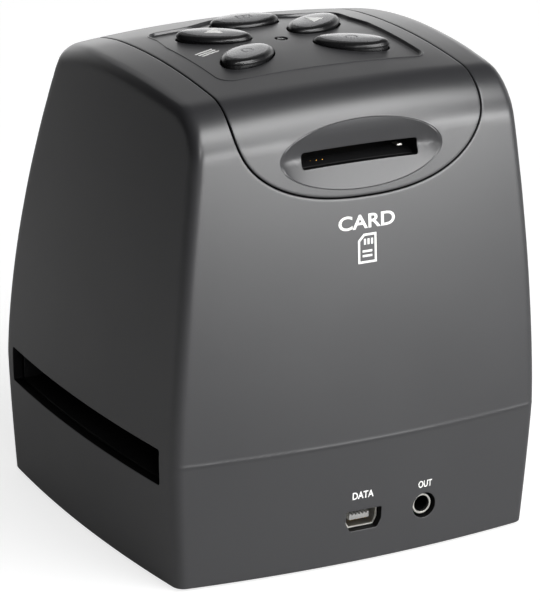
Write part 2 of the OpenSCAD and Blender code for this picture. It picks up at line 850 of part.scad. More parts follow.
jack_sunk = 1;
jack_front = rear_y(jack_h) - end_bulge * pow(2 * jack_x / body_w, 2) - jack_sunk;
jack_ring_r = 2.35;
module av_jack_body() {
    color(DARK) lift() difference() {
        union() {
            block([-jack_x - 3.2, -jack_x + 3.2], [jack_front - 13, jack_front - 2.6], [io_top, io_top + 5.2]);
            translate([-jack_x, jack_front - 0.9, jack_h]) rotate([90, 0, 0]) cylinder(h = 2, r = jack_ring_r);
        }
        translate([-jack_x, jack_front + 1, jack_h]) rotate([90, 0, 0]) cylinder(h = 13, r = jack_bore / 2);
    }
}

module av_jack_ring() {
    color(STEEL) lift() translate([-jack_x, jack_front, jack_h]) rotate([90, 0, 0]) difference() {
        cylinder(h = 0.9, r = jack_ring_r);
        translate([0, 0, -1]) cylinder(h = 3, r = jack_bore / 2);
    }
}

// ---- Film channel ----
GUIDE_LEGS = [[33, 18], [-33, 18], [33, -18], [-33, -18]];
rail_t = 1.5;
gate_w = 38;
gate_d = 26;
module guide_plan() {
    intersection() {
        inner_plan(film_floor - guide_t, 0.15);
        square([100, film_w + 2 * rail_t], center = true);
    }
}

module film_guide_lower() {
    color(DARK) lift() {
        difference() {
            union() {
                translate([0, 0, film_floor - guide_t]) linear_extrude(guide_t) guide_plan();
                for (s = [-1, 1]) intersection() {
                    translate([0, 0, film_floor - 0.1]) linear_extrude(film_h + 0.1) guide_plan();
                    block([-60, 60], [s > 0 ? film_w / 2 : -60, s > 0 ? 60 : -film_w / 2], [0, 60]);
                }
                for (p = GUIDE_LEGS) peg(p.x, p.y, [base_top, film_floor - guide_t + 0.1], 2.6);
            }
            block([-gate_w / 2, gate_w / 2], [-gate_d / 2, gate_d / 2], [0, 60]);
            for (p = GUIDE_LEGS) peg(p.x, p.y, [base_top - 1, 12], screw_r);
        }
    }
}

DETENT = [-30, 28];
detent_bore = 1.6;
detent_drop = 0.9;
cap_h = channel_top + guide_t + 7;
module film_guide_upper() {
    color(DARK) lift() difference() {
        union() {
            translate([0, 0, channel_top]) linear_extrude(guide_t) guide_plan();
            peg(DETENT.x, DETENT.y, [channel_top + guide_t - 0.1, cap_h + 1.2], 3.6);
        }
        block([-gate_w / 2, gate_w / 2], [-gate_d / 2, gate_d / 2], [0, 60]);
        peg(DETENT.x, DETENT.y, [channel_top - 1, cap_h + 5], detent_bore);
        peg(DETENT.x, DETENT.y, [channel_top + guide_t, cap_h + 5], 2.7);
        for (p = BRACKET_SCREWS) peg(p.x, p.y, [channel_top - 1, 60], 1.2);
        for (p = BRACKET_SCREWS) peg(p.x, p.y, [channel_top - 1, channel_top + 0.9], 2.1);
    }
}

module guide_screws() {
    color(STEEL) lift() {
        for (p = GUIDE_LEGS) screw(p, 0.1, 10, screw_r, 2.1, 0.9);
        for (p = BRACKET_SCREWS) screw(p, channel_top + 0.05, channel_top + guide_t + 5, screw_r, 1.9, 0.8);
    }
}

module detent_plunger() {
    stop = channel_top + guide_t;
    tip = channel_top - detent_drop;
    pin_r = detent_bore - 0.06;
    color(STEEL) lift() translate([DETENT.x, DETENT.y, 0]) {
        translate([0, 0, tip + pin_r]) cylinder(h = stop - tip - pin_r + 0.1, r = pin_r);
        translate([0, 0, tip + pin_r]) sphere(r = pin_r);
        translate([0, 0, stop + 0.02]) cylinder(h = 1.1, r = 2.6);
        translate([0, 0, stop + 1]) cylinder(h = 2.4, r = 1);
    }
}

module detent_spring() {
    low = channel_top + guide_t + 1.12;
    color(STEEL) lift() translate([DETENT.x, DETENT.y, low]) coil(1.7, 0.25, 6, cap_h - low);
}

module detent_cap() {
    color(DARK) lift() peg(DETENT.x, DETENT.y, [cap_h, cap_h + 1.2], 2.7);
}

// ---- Light under the film ----
module light_box() {
    color(WHITE) lift() difference() {
        block([-23, 23], [-17, 17], [base_top, film_floor - guide_t]);
        block([-21.4, 21.4], [-15.4, 15.4], [base_top + 1.2, 16.4]);
        block([-22, 22], [-16, 16], [16.3, 60]);
    }
}

module led_board() {
    color(WHITE) lift() block([-20, 20], [-14, 14], [base_top + 1.2, base_top + 2.4]);
}

module backlight_leds() {
    color("#f3e9b8") lift() for (x = [-12, 0, 12], y = [-7, 7])
        block([x - 1.4, x + 1.4], [y - 1.7, y + 1.7], [base_top + 2.4, base_top + 3.2]);
}

module diffuser() {
    color(WHITE) lift() block([-21.9, 21.9], [-15.9, 15.9], [16.4, 18.4]);
}

// ---- Lens tower ----
BRACKET_SCREWS = [[22.5, 12], [-22.5, 12], [22.5, -12], [-22.5, -12]];
tower = 17;
tower_low = channel_top + guide_t;
module lens_bracket() {
    color(DARK) lift() difference() {
        union() {
            block([-26, 26], [-17, 17], [tower_low, tower_low + 2.2]);
            block([-tower, tower], [-15.5, 15.5], [tower_low, sensor_h]);
            for (p = BRACKET_SCREWS) peg(p.x, p.y, [tower_low, tower_low + 6], 2.4);
        }
        // The chamber below the lens and the chamber above it
        block([-14.6, 14.6], [-13.5, 13.5], [0, lens_shelf]);
        block([-14.6, 14.6], [-13.5, 13.5], [lens_shelf + 3, sensor_h - 3.2]);
        block([-7.5, 7.5], [-6.5, 6.5], [lens_shelf, 80]);
        peg(0, 0, [lens_shelf - 1, lens_shelf + 4], 7.05);
        for (p = BRACKET_SCREWS) peg(p.x, p.y, [tower_low - 1, tower_low + 5.4], screw_r);
        for (p = SENSOR_SCREWS) peg(p.x, p.y, [sensor_h - 2.9, sensor_h + 1], 0.8);
    }
}

barrel_low = lens_shelf - 5;
barrel_high = lens_shelf + 7;
module lens_barrel() {
    color(DARK) lift() difference() {
        union() {
            peg(0, 0, [barrel_low, barrel_high], 7);
            peg(0, 0, [barrel_low, lens_shelf], 8.4);
        }
        peg(0, 0, [barrel_low - 1, barrel_low + 1.5], 4);
        peg(0, 0, [barrel_low + 1.4, barrel_high + 1], 5.4);
    }
}

// One glass element, thicker in the middle by the bulge on each face
module glass(low, rim, r, bulge) {
    steps = 8;
    function sag(k) = bulge * (1 - pow(k / steps, 2));
    translate([0, 0, low]) rotate_extrude() polygon(concat(
        [for (k = [0 : steps]) [r * k / steps, -sag(k)]],
        [for (k = [steps : -1 : 0]) [r * k / steps, rim + sag(k)]]
    ));
}

module lens_elements() {
    color(CLEAR) lift() {
        glass(barrel_low + 2.4, 1.2, 5.3, 0.9);
        glass(barrel_low + 6.4, 1, 5.3, 0.6);
    }
    color(DARK) lift() translate([0, 0, barrel_low + 4.5]) difference() {
        cylinder(h = 1.2, r = 5.3);
        translate([0, 0, -1]) cylinder(h = 4, r = 1.6);
    }
}

module lens_retainer() {
    color(DARK) lift() difference() {
        peg(0, 0, [barrel_high - 3.4, barrel_high - 1], 5.3);
        peg(0, 0, [barrel_high - 5, barrel_high + 1], 4);
    }
}

SENSOR_SCREWS = [[13, 11.5], [-13, 11.5], [13, -11.5], [-13, -11.5]];
module sensor_board() {
    color(BOARD_GREEN) lift() difference() {
        block([-16, 16], [-14.5, 14.5], [sensor_h, sensor_h + 1.2]);
        for (p = SENSOR_SCREWS) peg(p.x, p.y, [sensor_h - 1, sensor_h + 2], 1.1);
    }
}

module image_sensor() {
    color("#39404f") lift() block([-6, 6], [-5.2, 5.2], [sensor_h - 1.2, sensor_h]);
}

module ir_filter() {
    color("#7fb0b8") lift() block([-7.4, 7.4], [-6.4, 6.4], [sensor_h - 2.4, sensor_h - 1.6]);
}

module sensor_screws() {
    color(STEEL) lift() for (p = SENSOR_SCREWS)
        screw(p, sensor_h - 2.6, sensor_h + 2, 0.8, 1.7, 0.8, false);
}

// ---- Flat cables: a band that follows points in (y, height) ----
module band(points, t, x0, x1) {
    n = len(points);
    function side(k) =
        let (
            a = points[max(k - 1, 0)],
            b = points[min(k + 1, n - 1)],
            d = (b - a) / norm(b - a)
        )
        [-d.y, d.x] * t / 2;
    along_x(x0, x1) polygon(concat(
        [for (k = [0 : n - 1]) points[k] + side(k)],
        [for (k = [n - 1 : -1 : 0]) points[k] - side(k)]
    ));
}

module display_flex() {
    color(COPPER) lift()
        band([[-25, 79], [-22, 79.8], [-18, 80.4], [-14, 80.7], [-11.5, 81], [-9, 81.4]], 0.25, -9, 9);
}

module sensor_flex() {
    color(COPPER) lift()
        band(
            [[8, 67.6], [11, 68.6], [12.5, 72], [12.5, 77], [13, 79.8], [16, 80.9], [20, 81.2]],
            0.25, -19, -10.5
        );
}

module io_ribbon() {
    color("#8d8d90") lift()
        band(
            [[34.5, 7.3], [36.6, 8.6], [37.2, 14], [37.2, 40], [36.6, 74], [35.4, 79], [32, 80.7], [27, 81.1]],
            0.8, -22.4, -18
        );
}

housing();
top_cover();
front_panel();
lcd_window();
lcd_module();
base_plate();
rubber_feet();
base_screws();
key_up();
key_down();
key_menu();
key_mode();
key_power();
key_board();
key_switches();
key_board_screws();
status_light_lens();
status_led();
main_board();
main_chips();
board_screws();
card_socket_base();
card_socket_shell();
card_contacts();
card_slider();
card_spring();
io_board();
io_chips();
io_screws();
usb_socket_shell();
usb_socket_insert();
av_jack_body();
av_jack_ring();
film_guide_lower();
film_guide_upper();
guide_screws();
light_box();
led_board();
backlight_leds();
diffuser();
lens_bracket();
lens_barrel();
lens_elements();
lens_retainer();
ir_filter();
sensor_board();
image_sensor();
sensor_screws();
detent_plunger();
detent_spring();
detent_cap();
display_flex();
sensor_flex();
io_ribbon();
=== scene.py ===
# %% [markdown]
# # A film negative scanner
# A small free-standing box of black satin plastic. Film goes through a channel low on its sides, five
# oval keys sit in a recess on top, and a card slot and two sockets face the rear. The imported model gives
# the pieces and their places. This lesson gives each piece its true surface: one curved skin, cut along
# its parting lines, with rolled edges, small gaps and real finishes.

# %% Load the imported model
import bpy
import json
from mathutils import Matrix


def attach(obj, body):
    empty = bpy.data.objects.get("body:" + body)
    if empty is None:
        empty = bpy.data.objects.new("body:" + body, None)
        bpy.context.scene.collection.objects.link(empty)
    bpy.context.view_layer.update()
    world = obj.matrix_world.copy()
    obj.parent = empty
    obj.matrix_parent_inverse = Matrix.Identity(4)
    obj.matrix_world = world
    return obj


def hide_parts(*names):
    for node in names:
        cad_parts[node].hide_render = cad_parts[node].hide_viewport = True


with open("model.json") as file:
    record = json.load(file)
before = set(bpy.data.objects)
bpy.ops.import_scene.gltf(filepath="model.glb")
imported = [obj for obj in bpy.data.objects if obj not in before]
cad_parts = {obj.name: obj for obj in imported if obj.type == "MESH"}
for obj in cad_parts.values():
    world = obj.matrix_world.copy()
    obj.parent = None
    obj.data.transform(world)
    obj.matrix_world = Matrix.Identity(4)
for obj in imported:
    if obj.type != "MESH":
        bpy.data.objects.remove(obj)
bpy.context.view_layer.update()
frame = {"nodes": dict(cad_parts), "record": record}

# %% Modules for points, meshes and the results file
import json
import math
import bmesh
import bpy
import numpy as np
from mathutils import Euler, Vector
from mathutils.geometry import delaunay_2d_cdt
from mathutils.kdtree import KDTree

# %% [markdown]
# ## The camera
# A long lens from far away keeps upright edges nearly parallel, which suits a small product. The camera is
# placed by the direction that it looks from, so the view can be read from three numbers.

# %% Camera
MM = 0.001
# Where the camera looks, its distance and its focal length, in millimetres; its direction in degrees.
AIM = (0.97, 3.67, 44.73)
AZIMUTH, ELEVATION, ROLL = 151.06, 18.81, 0.78
DISTANCE = 747.5
LENS = 216.13


def looking_from(azimuth, elevation, distance, aim):
    """The place, in metres, that sees aim (mm) from this direction; azimuth 0 looks along +Y."""
    a, e = math.radians(azimuth), math.radians(elevation)
    way = Vector((math.sin(a) * math.cos(e), -math.cos(a) * math.cos(e), math.sin(e)))
    return (Vector(aim) + way * distance) * MM


def placed(name, data):
    """A new object in the scene that shows this camera, lamp or mesh."""
    made = bpy.data.objects.new(name, data)
    bpy.context.scene.collection.objects.link(made)
    return made


camera = placed("camera", bpy.data.cameras.new("camera"))
camera.location = looking_from(AZIMUTH, ELEVATION, DISTANCE, AIM)
towards = (Vector(AIM) * MM - camera.location).to_track_quat("-Z", "Y")
camera.rotation_euler = (towards @ Euler((0, 0, math.radians(ROLL))).to_quaternion()).to_euler()
camera.data.lens = LENS
camera.data.clip_start = 0.05
bpy.context.scene.camera = camera
print("camera at", [round(v, 3) for v in camera.location])

# %% [markdown]
# ## Colours and nodes
# Colours are written as sRGB hex values, as a paint program shows them, and turned to linear light once.
# Every material is a small tree of nodes, so one helper adds a node with its settings and its links.


# %% Helpers for materials
def linear(hex_colour):
    """An sRGB hex colour as linear RGBA."""
    channels = [int(hex_colour[i : i + 2], 16) / 255 for i in (1, 3, 5)]
    return [c / 12.92 if c <= 0.04045 else ((c + 0.055) / 1.055) ** 2.4 for c in channels] + [1.0]


def add(tree, kind, settings=None, links=None):
    """Adds a shader node. Settings name its fields or sockets, and links join its inputs to other nodes.

    The other end of a link is an output, or a node that stands for its first output.
    """
    node = tree.nodes.new("ShaderNode" + kind)
    for key, value in (settings or {}).items():
        if isinstance(key, str) and hasattr(node, key):
            setattr(node, key, value)
        else:
            node.inputs[key].default_value = value
    for key, source in (links or {}).items():
        output = source.outputs[0] if hasattr(source, "outputs") else source
        tree.links.new(output, node.inputs[key])
    return node


def material(name, colour, roughness, settings=None):
    """A Principled material; returns it with its node tree and its shader."""
    made = bpy.data.materials.new(name)
    made.use_nodes = True
    tree = made.node_tree
    tree.nodes.clear()
    values = {"Base Color": linear(colour), "Roughness": roughness, **(settings or {})}
    shader = add(tree, "BsdfPrincipled", values)
    add(tree, "OutputMaterial", links={"Surface": shader})
    return made, tree, shader


def per_metre(size_mm):
    """The texture scale that gives features of about this size, in a space measured in metres."""
    return 1 / (size_mm * MM)


# %% [markdown]
# ## Floor and background
# The floor and the background are white only to the camera and through glass, by the Light Path node, so
# they throw no extra light on the object and the floor keeps its shadow. Glossy surfaces mirror a white
# card that stands low behind the front of the object, and the far part of the floor before it. Mirrored
# all round, the white room would wash out the black plastic.

# %% Who sees the white room
WHITE = linear("#ffffff")
CARD_AZIMUTH = math.radians(325)
CARD_WAY = (math.sin(CARD_AZIMUTH), -math.cos(CARD_AZIMUTH), 0)


def seen_directly(tree):
    """One for a ray from the camera or through glass, else zero, after the Light Path node it uses."""
    path = add(tree, "LightPath")
    rays = {0: path.outputs["Is Camera Ray"], 1: path.outputs["Is Transmission Ray"]}
    return path, add(tree, "Math", {"operation": "MAXIMUM"}, rays)


# %% Background
DIM = 0.12
world = bpy.data.worlds.new("studio")
bpy.context.scene.world = world
world.use_nodes = True
tree = world.node_tree
tree.nodes.clear()
path, direct = seen_directly(tree)
way = add(tree, "TexCoord").outputs["Generated"]
up = add(tree, "SeparateXYZ", links={0: way}).outputs["Z"]
facing = add(tree, "VectorMath", {"operation": "DOT_PRODUCT", 1: CARD_WAY}, {0: way}).outputs["Value"]
# The card fades out upwards and to its sides.
soft = {"interpolation_type": "SMOOTHSTEP"}
top_fade = {**soft, "From Min": 0.2, "From Max": 0.5, "To Min": 1.0, "To Max": 0.0}
low = add(tree, "MapRange", top_fade, {"Value": up})
ahead = add(tree, "MapRange", {**soft, "From Min": 0.4, "From Max": 0.8}, {"Value": facing})
card = add(tree, "Math", {"operation": "MULTIPLY"}, {0: low, 1: ahead})
dim = add(tree, "Background", {"Color": WHITE, "Strength": DIM})
mirrored = add(tree, "Background", {"Color": WHITE}, {"Strength": card})
white = add(tree, "Background", {"Color": WHITE, "Strength": 1.0})
glossy = add(tree, "MixShader", links={0: path.outputs["Is Glossy Ray"], 1: dim, 2: mirrored})
either = add(tree, "MixShader", links={0: direct, 1: glossy, 2: white})
add(tree, "OutputWorld", links={"Surface": either})
bpy.context.scene.view_settings.view_transform = "Standard"
print("background nodes:", len(tree.nodes))

# %% Floor
FLOOR_HALF, FLOOR_GLOW = 3.0, 0.75
corners = [(s * FLOOR_HALF, t * FLOOR_HALF, 0) for s, t in ((-1, -1), (1, -1), (1, 1), (-1, 1))]
floor_mesh = bpy.data.meshes.new("floor")
floor_mesh.from_pydata(corners, [], [(0, 1, 2, 3)])
floor = placed("floor", floor_mesh)
floor_paint, tree, shader = material("white_floor", "#a4a4a4", 0.9)
path, direct = seen_directly(tree)
place = add(tree, "TexCoord").outputs["Object"]
reach = add(tree, "VectorMath", {"operation": "DOT_PRODUCT", 1: CARD_WAY}, {0: place}).outputs["Value"]
# Near the object a tenth of the white is mirrored, and all of it from 2 m towards the card.
far_part = add(tree, "MapRange", {"From Min": 0.6, "From Max": 2.0, "To Min": 0.1}, {"Value": reach})
mirrored = {0: path.outputs["Is Glossy Ray"], 1: far_part}
mirrored = add(tree, "Math", {"operation": "MULTIPLY"}, mirrored)
seen = add(tree, "Math", {"operation": "MAXIMUM"}, {0: direct, 1: mirrored})
glow = add(tree, "Emission", {"Color": WHITE, "Strength": FLOOR_GLOW})
dark = add(tree, "Emission", {"Strength": 0.0})
lift = add(tree, "MixShader", links={0: seen, 1: dark, 2: glow})
lit = add(tree, "AddShader", links={0: shader, 1: lift})
output = next(n for n in tree.nodes if n.type == "OUTPUT_MATERIAL")
tree.links.new(lit.outputs[0], output.inputs["Surface"])
floor_mesh.materials.append(floor_paint)
print("floor:", 2 * FLOOR_HALF, "m wide")

# %% [markdown]
# ## Lamps
# Black satin plastic shows its form only by the lamps that it mirrors, so each lamp has one job. A low wide
# one and a high one draw the rear face and the dark band above it. A weak one between them carries the
# sheen over the rounded edge and the scoop, a narrow strip marks the upright corner, and two faint ones in
# front keep the keys and the far side readable.

# %% Soft lamps
LAMP_DISTANCE, LAMP_AIM = 1300, (0, 0, 50)
LAMPS = {
    # name: azimuth, elevation (degrees), width, height (m), watts
    "low_strip_softbox": (209, 4.0, 1.2, 0.34, 13.2),
    "upper_softbox": (208, 45.5, 1.25, 0.5, 13.8),
    "shoulder_softbox": (206, 25.5, 0.8, 0.32, 3.8),
    "corner_strip_softbox": (160, 22, 0.2, 0.4, 2.2),
    "front_softbox": (345, 45, 1.0, 0.7, 1.2),
    "low_front_softbox": (338, 6.5, 1.0, 0.33, 1.05),
}
for name, (azimuth, elevation, width, height, watts) in LAMPS.items():
    lamp = bpy.data.lights.new(name, "AREA")
    lamp.shape = "RECTANGLE"
    lamp.size, lamp.size_y = width, height
    lamp.energy = watts
    holder = placed(name, lamp)
    holder.location = looking_from(azimuth, elevation, LAMP_DISTANCE, LAMP_AIM)
    aim = Vector(LAMP_AIM) * MM - holder.location
    holder.rotation_euler = aim.to_track_quat("-Z", "Y").to_euler()
print("lamps:", len(LAMPS))

# %% [markdown]
# ## The skin
# The shell is one tapered box with bulged sides, an arched top and rounded edges. A function that says how
# far a point lies outside that skin is enough to build everything: points are cast onto the skin, and its
# slope gives the outward direction. Lengths here are in millimetres, above the shell's lower edge.

# %% Sizes of the skin
BODY_W, BODY_D, BODY_H = 88.0, 86.0, 100.5
# The box is widest at the crease, and leans in above it and tucks in below it.
CREASE_H = 26.1
SIDE_TAPER, REAR_TAPER, FRONT_LEAN = 7.4, 4.8, 18.8
SIDE_TUCK, END_TUCK = 1.5, 1.1
SIDE_BULGE, END_BULGE = 2.6, 3.6
# The top is an arc from front to rear, lower towards its sides and towards its nose.
ARCH_R, ARCH_Y, CROWN = 185.0, 2.2, 3.0
NOSE_Y, NOSE_DROP = -10.0, 0.004
# Radii of the edges; the side edge grows towards the front.
REAR_EDGE_R, FRONT_EDGE_R = 8.1, 2.5
SIDE_EDGE_R, SIDE_EDGE_FRONT_R, EDGE_FRONT_Y = 1.8, 4.5, -24.0
REAR_CORNER_R, FRONT_CORNER_R = 1.8, 3.2
EDGE_START_H, EDGE_FULL_H = 91.5, 97.5
LOWER_LIP, FOOT_H, WALL = 0.4, 0.8, 2.0


# %% How far a point lies outside the skin
def blend(a, b, r):
    """The larger of two distances, with the edge between them rounded to radius r."""
    round_part = np.hypot(a + r, b + r) - r
    return np.where((a > -r) & (b > -r), round_part, np.maximum(a, b))


def off_skin(p):
    """How far each point lies outside the skin, below zero inside it."""
    x, y, h = p[..., 0], p[..., 1], p[..., 2]
    rise = np.maximum(0, (h - CREASE_H) / (BODY_H - CREASE_H))
    fall = np.maximum(0, (CREASE_H - h) / CREASE_H)
    half_w = BODY_W / 2 - SIDE_TAPER * rise**1.5 - SIDE_TUCK * fall**1.3
    rear = BODY_D / 2 - REAR_TAPER * rise**2 - END_TUCK * fall
    front = BODY_D / 2 - FRONT_LEAN * rise**1.72 - END_TUCK * fall
    nose = NOSE_DROP * np.minimum(0, y - NOSE_Y) ** 2
    top = BODY_H - (y - ARCH_Y) ** 2 / (2 * ARCH_R) - nose - CROWN * (2 * x / BODY_W) ** 2
    ends = np.maximum(y - rear, -y - front) + END_BULGE * (2 * x / BODY_W) ** 2
    sides = np.abs(x) - half_w + SIDE_BULGE * (2 * y / BODY_D) ** 2
    corner_r = np.where(y > 0, REAR_CORNER_R, FRONT_CORNER_R)
    upper_r = SIDE_EDGE_R + (SIDE_EDGE_FRONT_R - SIDE_EDGE_R) * np.clip(y / EDGE_FRONT_Y, 0, 1) ** 2
    share = np.clip((h - EDGE_START_H) / (EDGE_FULL_H - EDGE_START_H), 0, 1)
    side_r = corner_r + (upper_r - corner_r) * share
    edged = blend(ends, h - top, np.where(y > 0, REAR_EDGE_R, FRONT_EDGE_R))
    return blend(edged, sides, side_r)


# %% Onto the skin
def slope(p, step=0.02):
    """How the distance from the skin changes at each point, by central differences."""
    parts = []
    for k in range(3):
        d = np.zeros(3)
        d[k] = step
        parts.append((off_skin(p + d) - off_skin(p - d)) / (2 * step))
    return np.stack(parts, -1)


def outward(p):
    """The outward direction of the skin at each point."""
    g = slope(p)
    return g / np.linalg.norm(g, axis=-1, keepdims=True)


def onto_skin(p):
    """Points that lie near the skin, moved onto it along its slope."""
    for _ in range(4):
        g = slope(p)
        p = p - g * (off_skin(p) / (g * g).sum(-1))[..., None]
    return p


def halved(is_outside, low, high, rounds=44):
    """Bounds on the distance at which is_outside turns true, brought together by halving."""
    for _ in range(rounds):
        middle = (low + high) / 2
        outside = is_outside(middle)
        high = np.where(outside, middle, high)
        low = np.where(outside, low, middle)
    return low, high


def cast(start, way, far=120.0):
    """Where rays that start inside meet the skin."""
    start, way = np.broadcast_arrays(np.asarray(start, float), np.asarray(way, float))
    zero = np.zeros(start.shape[:-1])
    low, high = halved(lambda t: off_skin(start + way * t[..., None]) > 0, zero, zero + far)
    return start + way * ((low + high) / 2)[..., None]


# %% Outlines on one face of the box
REARWARD, FORWARD, UPWARD = (0.0, 1.0, 0.0), (0.0, -1.0, 0.0), (0.0, 0.0, 1.0)
UNDER_TOP_H = 60.0


def cast_outline(outline, axes, way, elsewhere=0.0):
    """A flat outline set along two of the axes (0, 1, 2 for x, y, height) and cast onto the skin."""
    start = np.full((len(outline), 3), elsewhere)
    start[:, axes] = outline
    return cast(start, way)


def on_rear(outline):
    """An outline of (x, height) cast onto the rear face."""
    return cast_outline(outline, [0, 2], REARWARD)


def on_front(outline):
    """An outline of (x, height) cast onto the front face."""
    return cast_outline(outline, [0, 2], FORWARD)


def on_top(outline):
    """An outline of (x, y) cast onto the top."""
    return cast_outline(outline, [0, 1], UPWARD, UNDER_TOP_H)


def on_side(outline, side):
    """An outline of (y, height) cast onto the side at +X (side 1) or -X (side -1)."""
    return cast_outline(outline, [1, 2], (float(side), 0.0, 0.0))


# %% Ovals and rounded outlines
def turned_flat(u, v, centre, degrees):
    """Flat points turned about their middle and moved to a centre."""
    c, s = math.cos(math.radians(degrees)), math.sin(math.radians(degrees))
    return np.stack([centre[0] + u * c - v * s, centre[1] + u * s + v * c], -1)


def oval(a, b, centre=(0, 0), degrees=0.0, steps=72):
    """An ellipse with half axes a and b, turned about its centre."""
    t = np.linspace(0, 2 * math.pi, steps, endpoint=False)
    return turned_flat(a * np.cos(t), b * np.sin(t), centre, degrees)


def distances(run):
    """How far along a run of points each of them lies."""
    return np.r_[0, np.cumsum(np.linalg.norm(np.diff(run, axis=0), axis=1))]


def picked(run, at):
    """Points on a run at these distances along it."""
    return np.stack([np.interp(at, distances(run), run[:, k]) for k in range(run.shape[1])], -1)


def joined(runs, corner, step):
    """One closed outline from runs that meet end to end, evenly spaced, with each meeting rounded."""
    trimmed = []
    for run in runs:
        run = np.asarray(run, float)
        total = distances(run)[-1]
        count = max(2, int(round((total - 2 * corner) / step)) + 1)
        trimmed.append(picked(run, np.linspace(corner, total - corner, count)))
    out = []
    for i, run in enumerate(trimmed):
        before, after, tip = trimmed[i - 1][-1], run[0], np.asarray(runs[i][0], float)
        if corner > 0:
            for t in np.linspace(0, 1, 7)[1:-1]:
                out.append((1 - t) ** 2 * before + 2 * t * (1 - t) * tip + t * t * after)
        out.extend(run if corner > 0 else run[:-1])
    return np.array(out)


def rounded(tips, corner, step):
    """A closed outline through these tips, with its corners rounded."""
    return joined(list(zip(tips, tips[1:] + tips[:1])), corner, step)


def rectangle(x0, x1, y0, y1, corner, step=1.0):
    """A rectangle with rounded corners."""
    return rounded([(x0, y0), (x1, y0), (x1, y1), (x0, y1)], corner, step)


print("rear at mid height:", on_rear([(0, 50)])[0].round(2))

# %% [markdown]
# ## Points to carry the skin
# A surface looks smooth when its points are dense where it bends and lie along the bend. So the points
# come in rings: around each level, closest at the upright corners, then over the rounded edge in a fan,
# and last as a plain grid on the top.

# %% Points over the whole skin
# Each level is seen from its middle towards a frame of points, this far inside the width and depth.
FRAME_IN = 6
# Above TURN_H the rings fan over the edge, from points set in by TURN_IN, and the grid keeps clear of them.
TURN_H, TURN_IN, GRID_CLEAR = 86.0, 14.0, 0.6
ring_share = np.linspace(-1, 1, 50)[:-1]
ring_share = 0.35 * ring_share + 0.65 * np.sin(ring_share * math.pi / 2)


def headings():
    """Directions in plan from the middle of a level to points along its four sides."""
    x, y = BODY_W / 2 - FRAME_IN, BODY_D / 2 - FRAME_IN
    t = ring_share
    sides = [(x + 0 * t, y * t), (-x * t, y + 0 * t), (-x + 0 * t, -y * t), (x * t, -y + 0 * t)]
    plan = np.concatenate([np.stack(side, -1) for side in sides])
    plan = plan / np.linalg.norm(plan, axis=-1, keepdims=True)
    return np.concatenate([plan, 0 * plan[:, :1]], 1)


def ring_at(h):
    """One ring of points around the walls at height h."""
    ways = headings()
    rear = cast((0.0, 0.0, h), REARWARD)[1]
    front = cast((0.0, 0.0, h), FORWARD)[1]
    return cast(np.array([0, (rear + front) / 2, h]) + 0 * ways, ways)


def fan_at(angle):
    """One ring over the rounded upper edge, seen from points set in from the wall."""
    ways = headings()
    start = ring_at(TURN_H) - ways * TURN_IN
    a = math.radians(angle)
    return cast(start, ways * math.cos(a) + np.array([0, 0, math.sin(a)]), 60)


levels = [-LOWER_LIP, 0.8, *np.arange(2.5, 25, 2.2), 25.2, CREASE_H, 27.0, *np.arange(28.5, 85, 2.0)]
angles = [*np.arange(0, 20, 5.0), *np.arange(20, 70, 3.2), *np.arange(70, 91, 4.0)]
grid = np.stack(np.meshgrid(np.arange(-32, 32.1, 1.6), np.arange(-26, 32.1, 1.6)), -1).reshape(-1, 2)
flat_top = on_top(grid)
inner = flat_top.copy()
inner[:, 2] = TURN_H
flat_top = flat_top[off_skin(inner) < -TURN_IN - GRID_CLEAR]
SKIN_POINTS = np.concatenate([ring_at(h) for h in levels] + [fan_at(a) for a in angles] + [flat_top])
print("skin points:", len(SKIN_POINTS))

# %% [markdown]
# ## A sheet of the skin
# A moulded shell is a sheet of even thickness with an edge that is slightly rounded. A sheet could be cut
# from the skin with booleans, but they leave ragged shading along each cut. Here the parting lines become
# edges of the mesh itself: the skin is unrolled onto a flat map, triangulated between its outlines, and
# each outline is then rolled inwards and closed with a wall.

# %% A flat map of the skin
MAP_HUB, MAP_SCALE = np.array([0.0, 0.0, 45.0]), 50


def flatten(p):
    """The skin unrolled onto a plane about the vertical through the middle of the box."""
    v = p - MAP_HUB
    down = np.arccos(v[..., 2] / np.linalg.norm(v, axis=-1))
    around = np.arctan2(v[..., 1], v[..., 0])
    return np.stack([down * np.cos(around), down * np.sin(around)], -1) * MAP_SCALE


def area(flat):
    """Twice the signed area of a flat outline, above zero where it runs counter-clockwise."""
    nxt = np.roll(flat, -1, 0)
    return float((flat[:, 0] * nxt[:, 1] - nxt[:, 0] * flat[:, 1]).sum())


def inside(points, outlines):
    """Which flat points lie inside the outlines, by counting crossings."""
    odd = np.zeros(len(points), bool)
    for outline in outlines:
        nxt = np.roll(outline, -1, 0)
        for (ax, ay), (bx, by) in zip(outline, nxt):
            if ay != by:
                level = (points[:, 1] > ay) != (points[:, 1] > by)
                cross = ax + (points[:, 1] - ay) * (bx - ax) / (by - ay)
                odd ^= level & (points[:, 0] < cross)
    return odd


def into_sheet(loop):
    """For each point of an outline, the direction along the skin towards the material."""
    along = np.roll(loop, -1, 0) - np.roll(loop, 1, 0)
    way = np.cross(outward(loop), along)
    return way / np.linalg.norm(way, axis=1, keepdims=True)


# %% From outlines to a closed sheet
ROLL_ANGLES = [math.radians(a) for a in (22.5, 45, 67.5, 90)]
# A row of points this far inside each edge keeps its shading even; others stay this far from the edges.
SUPPORT_IN, SUPPORT_GAP = 0.35, 0.28


def clear_of(points, others, gap):
    """The points that lie further than gap from all the others."""
    near = KDTree(len(others))
    for count, p in enumerate(others):
        near.insert(Vector(p), count)
    near.balance()
    return np.array([p for p in points if near.find(Vector(p))[2] > gap])


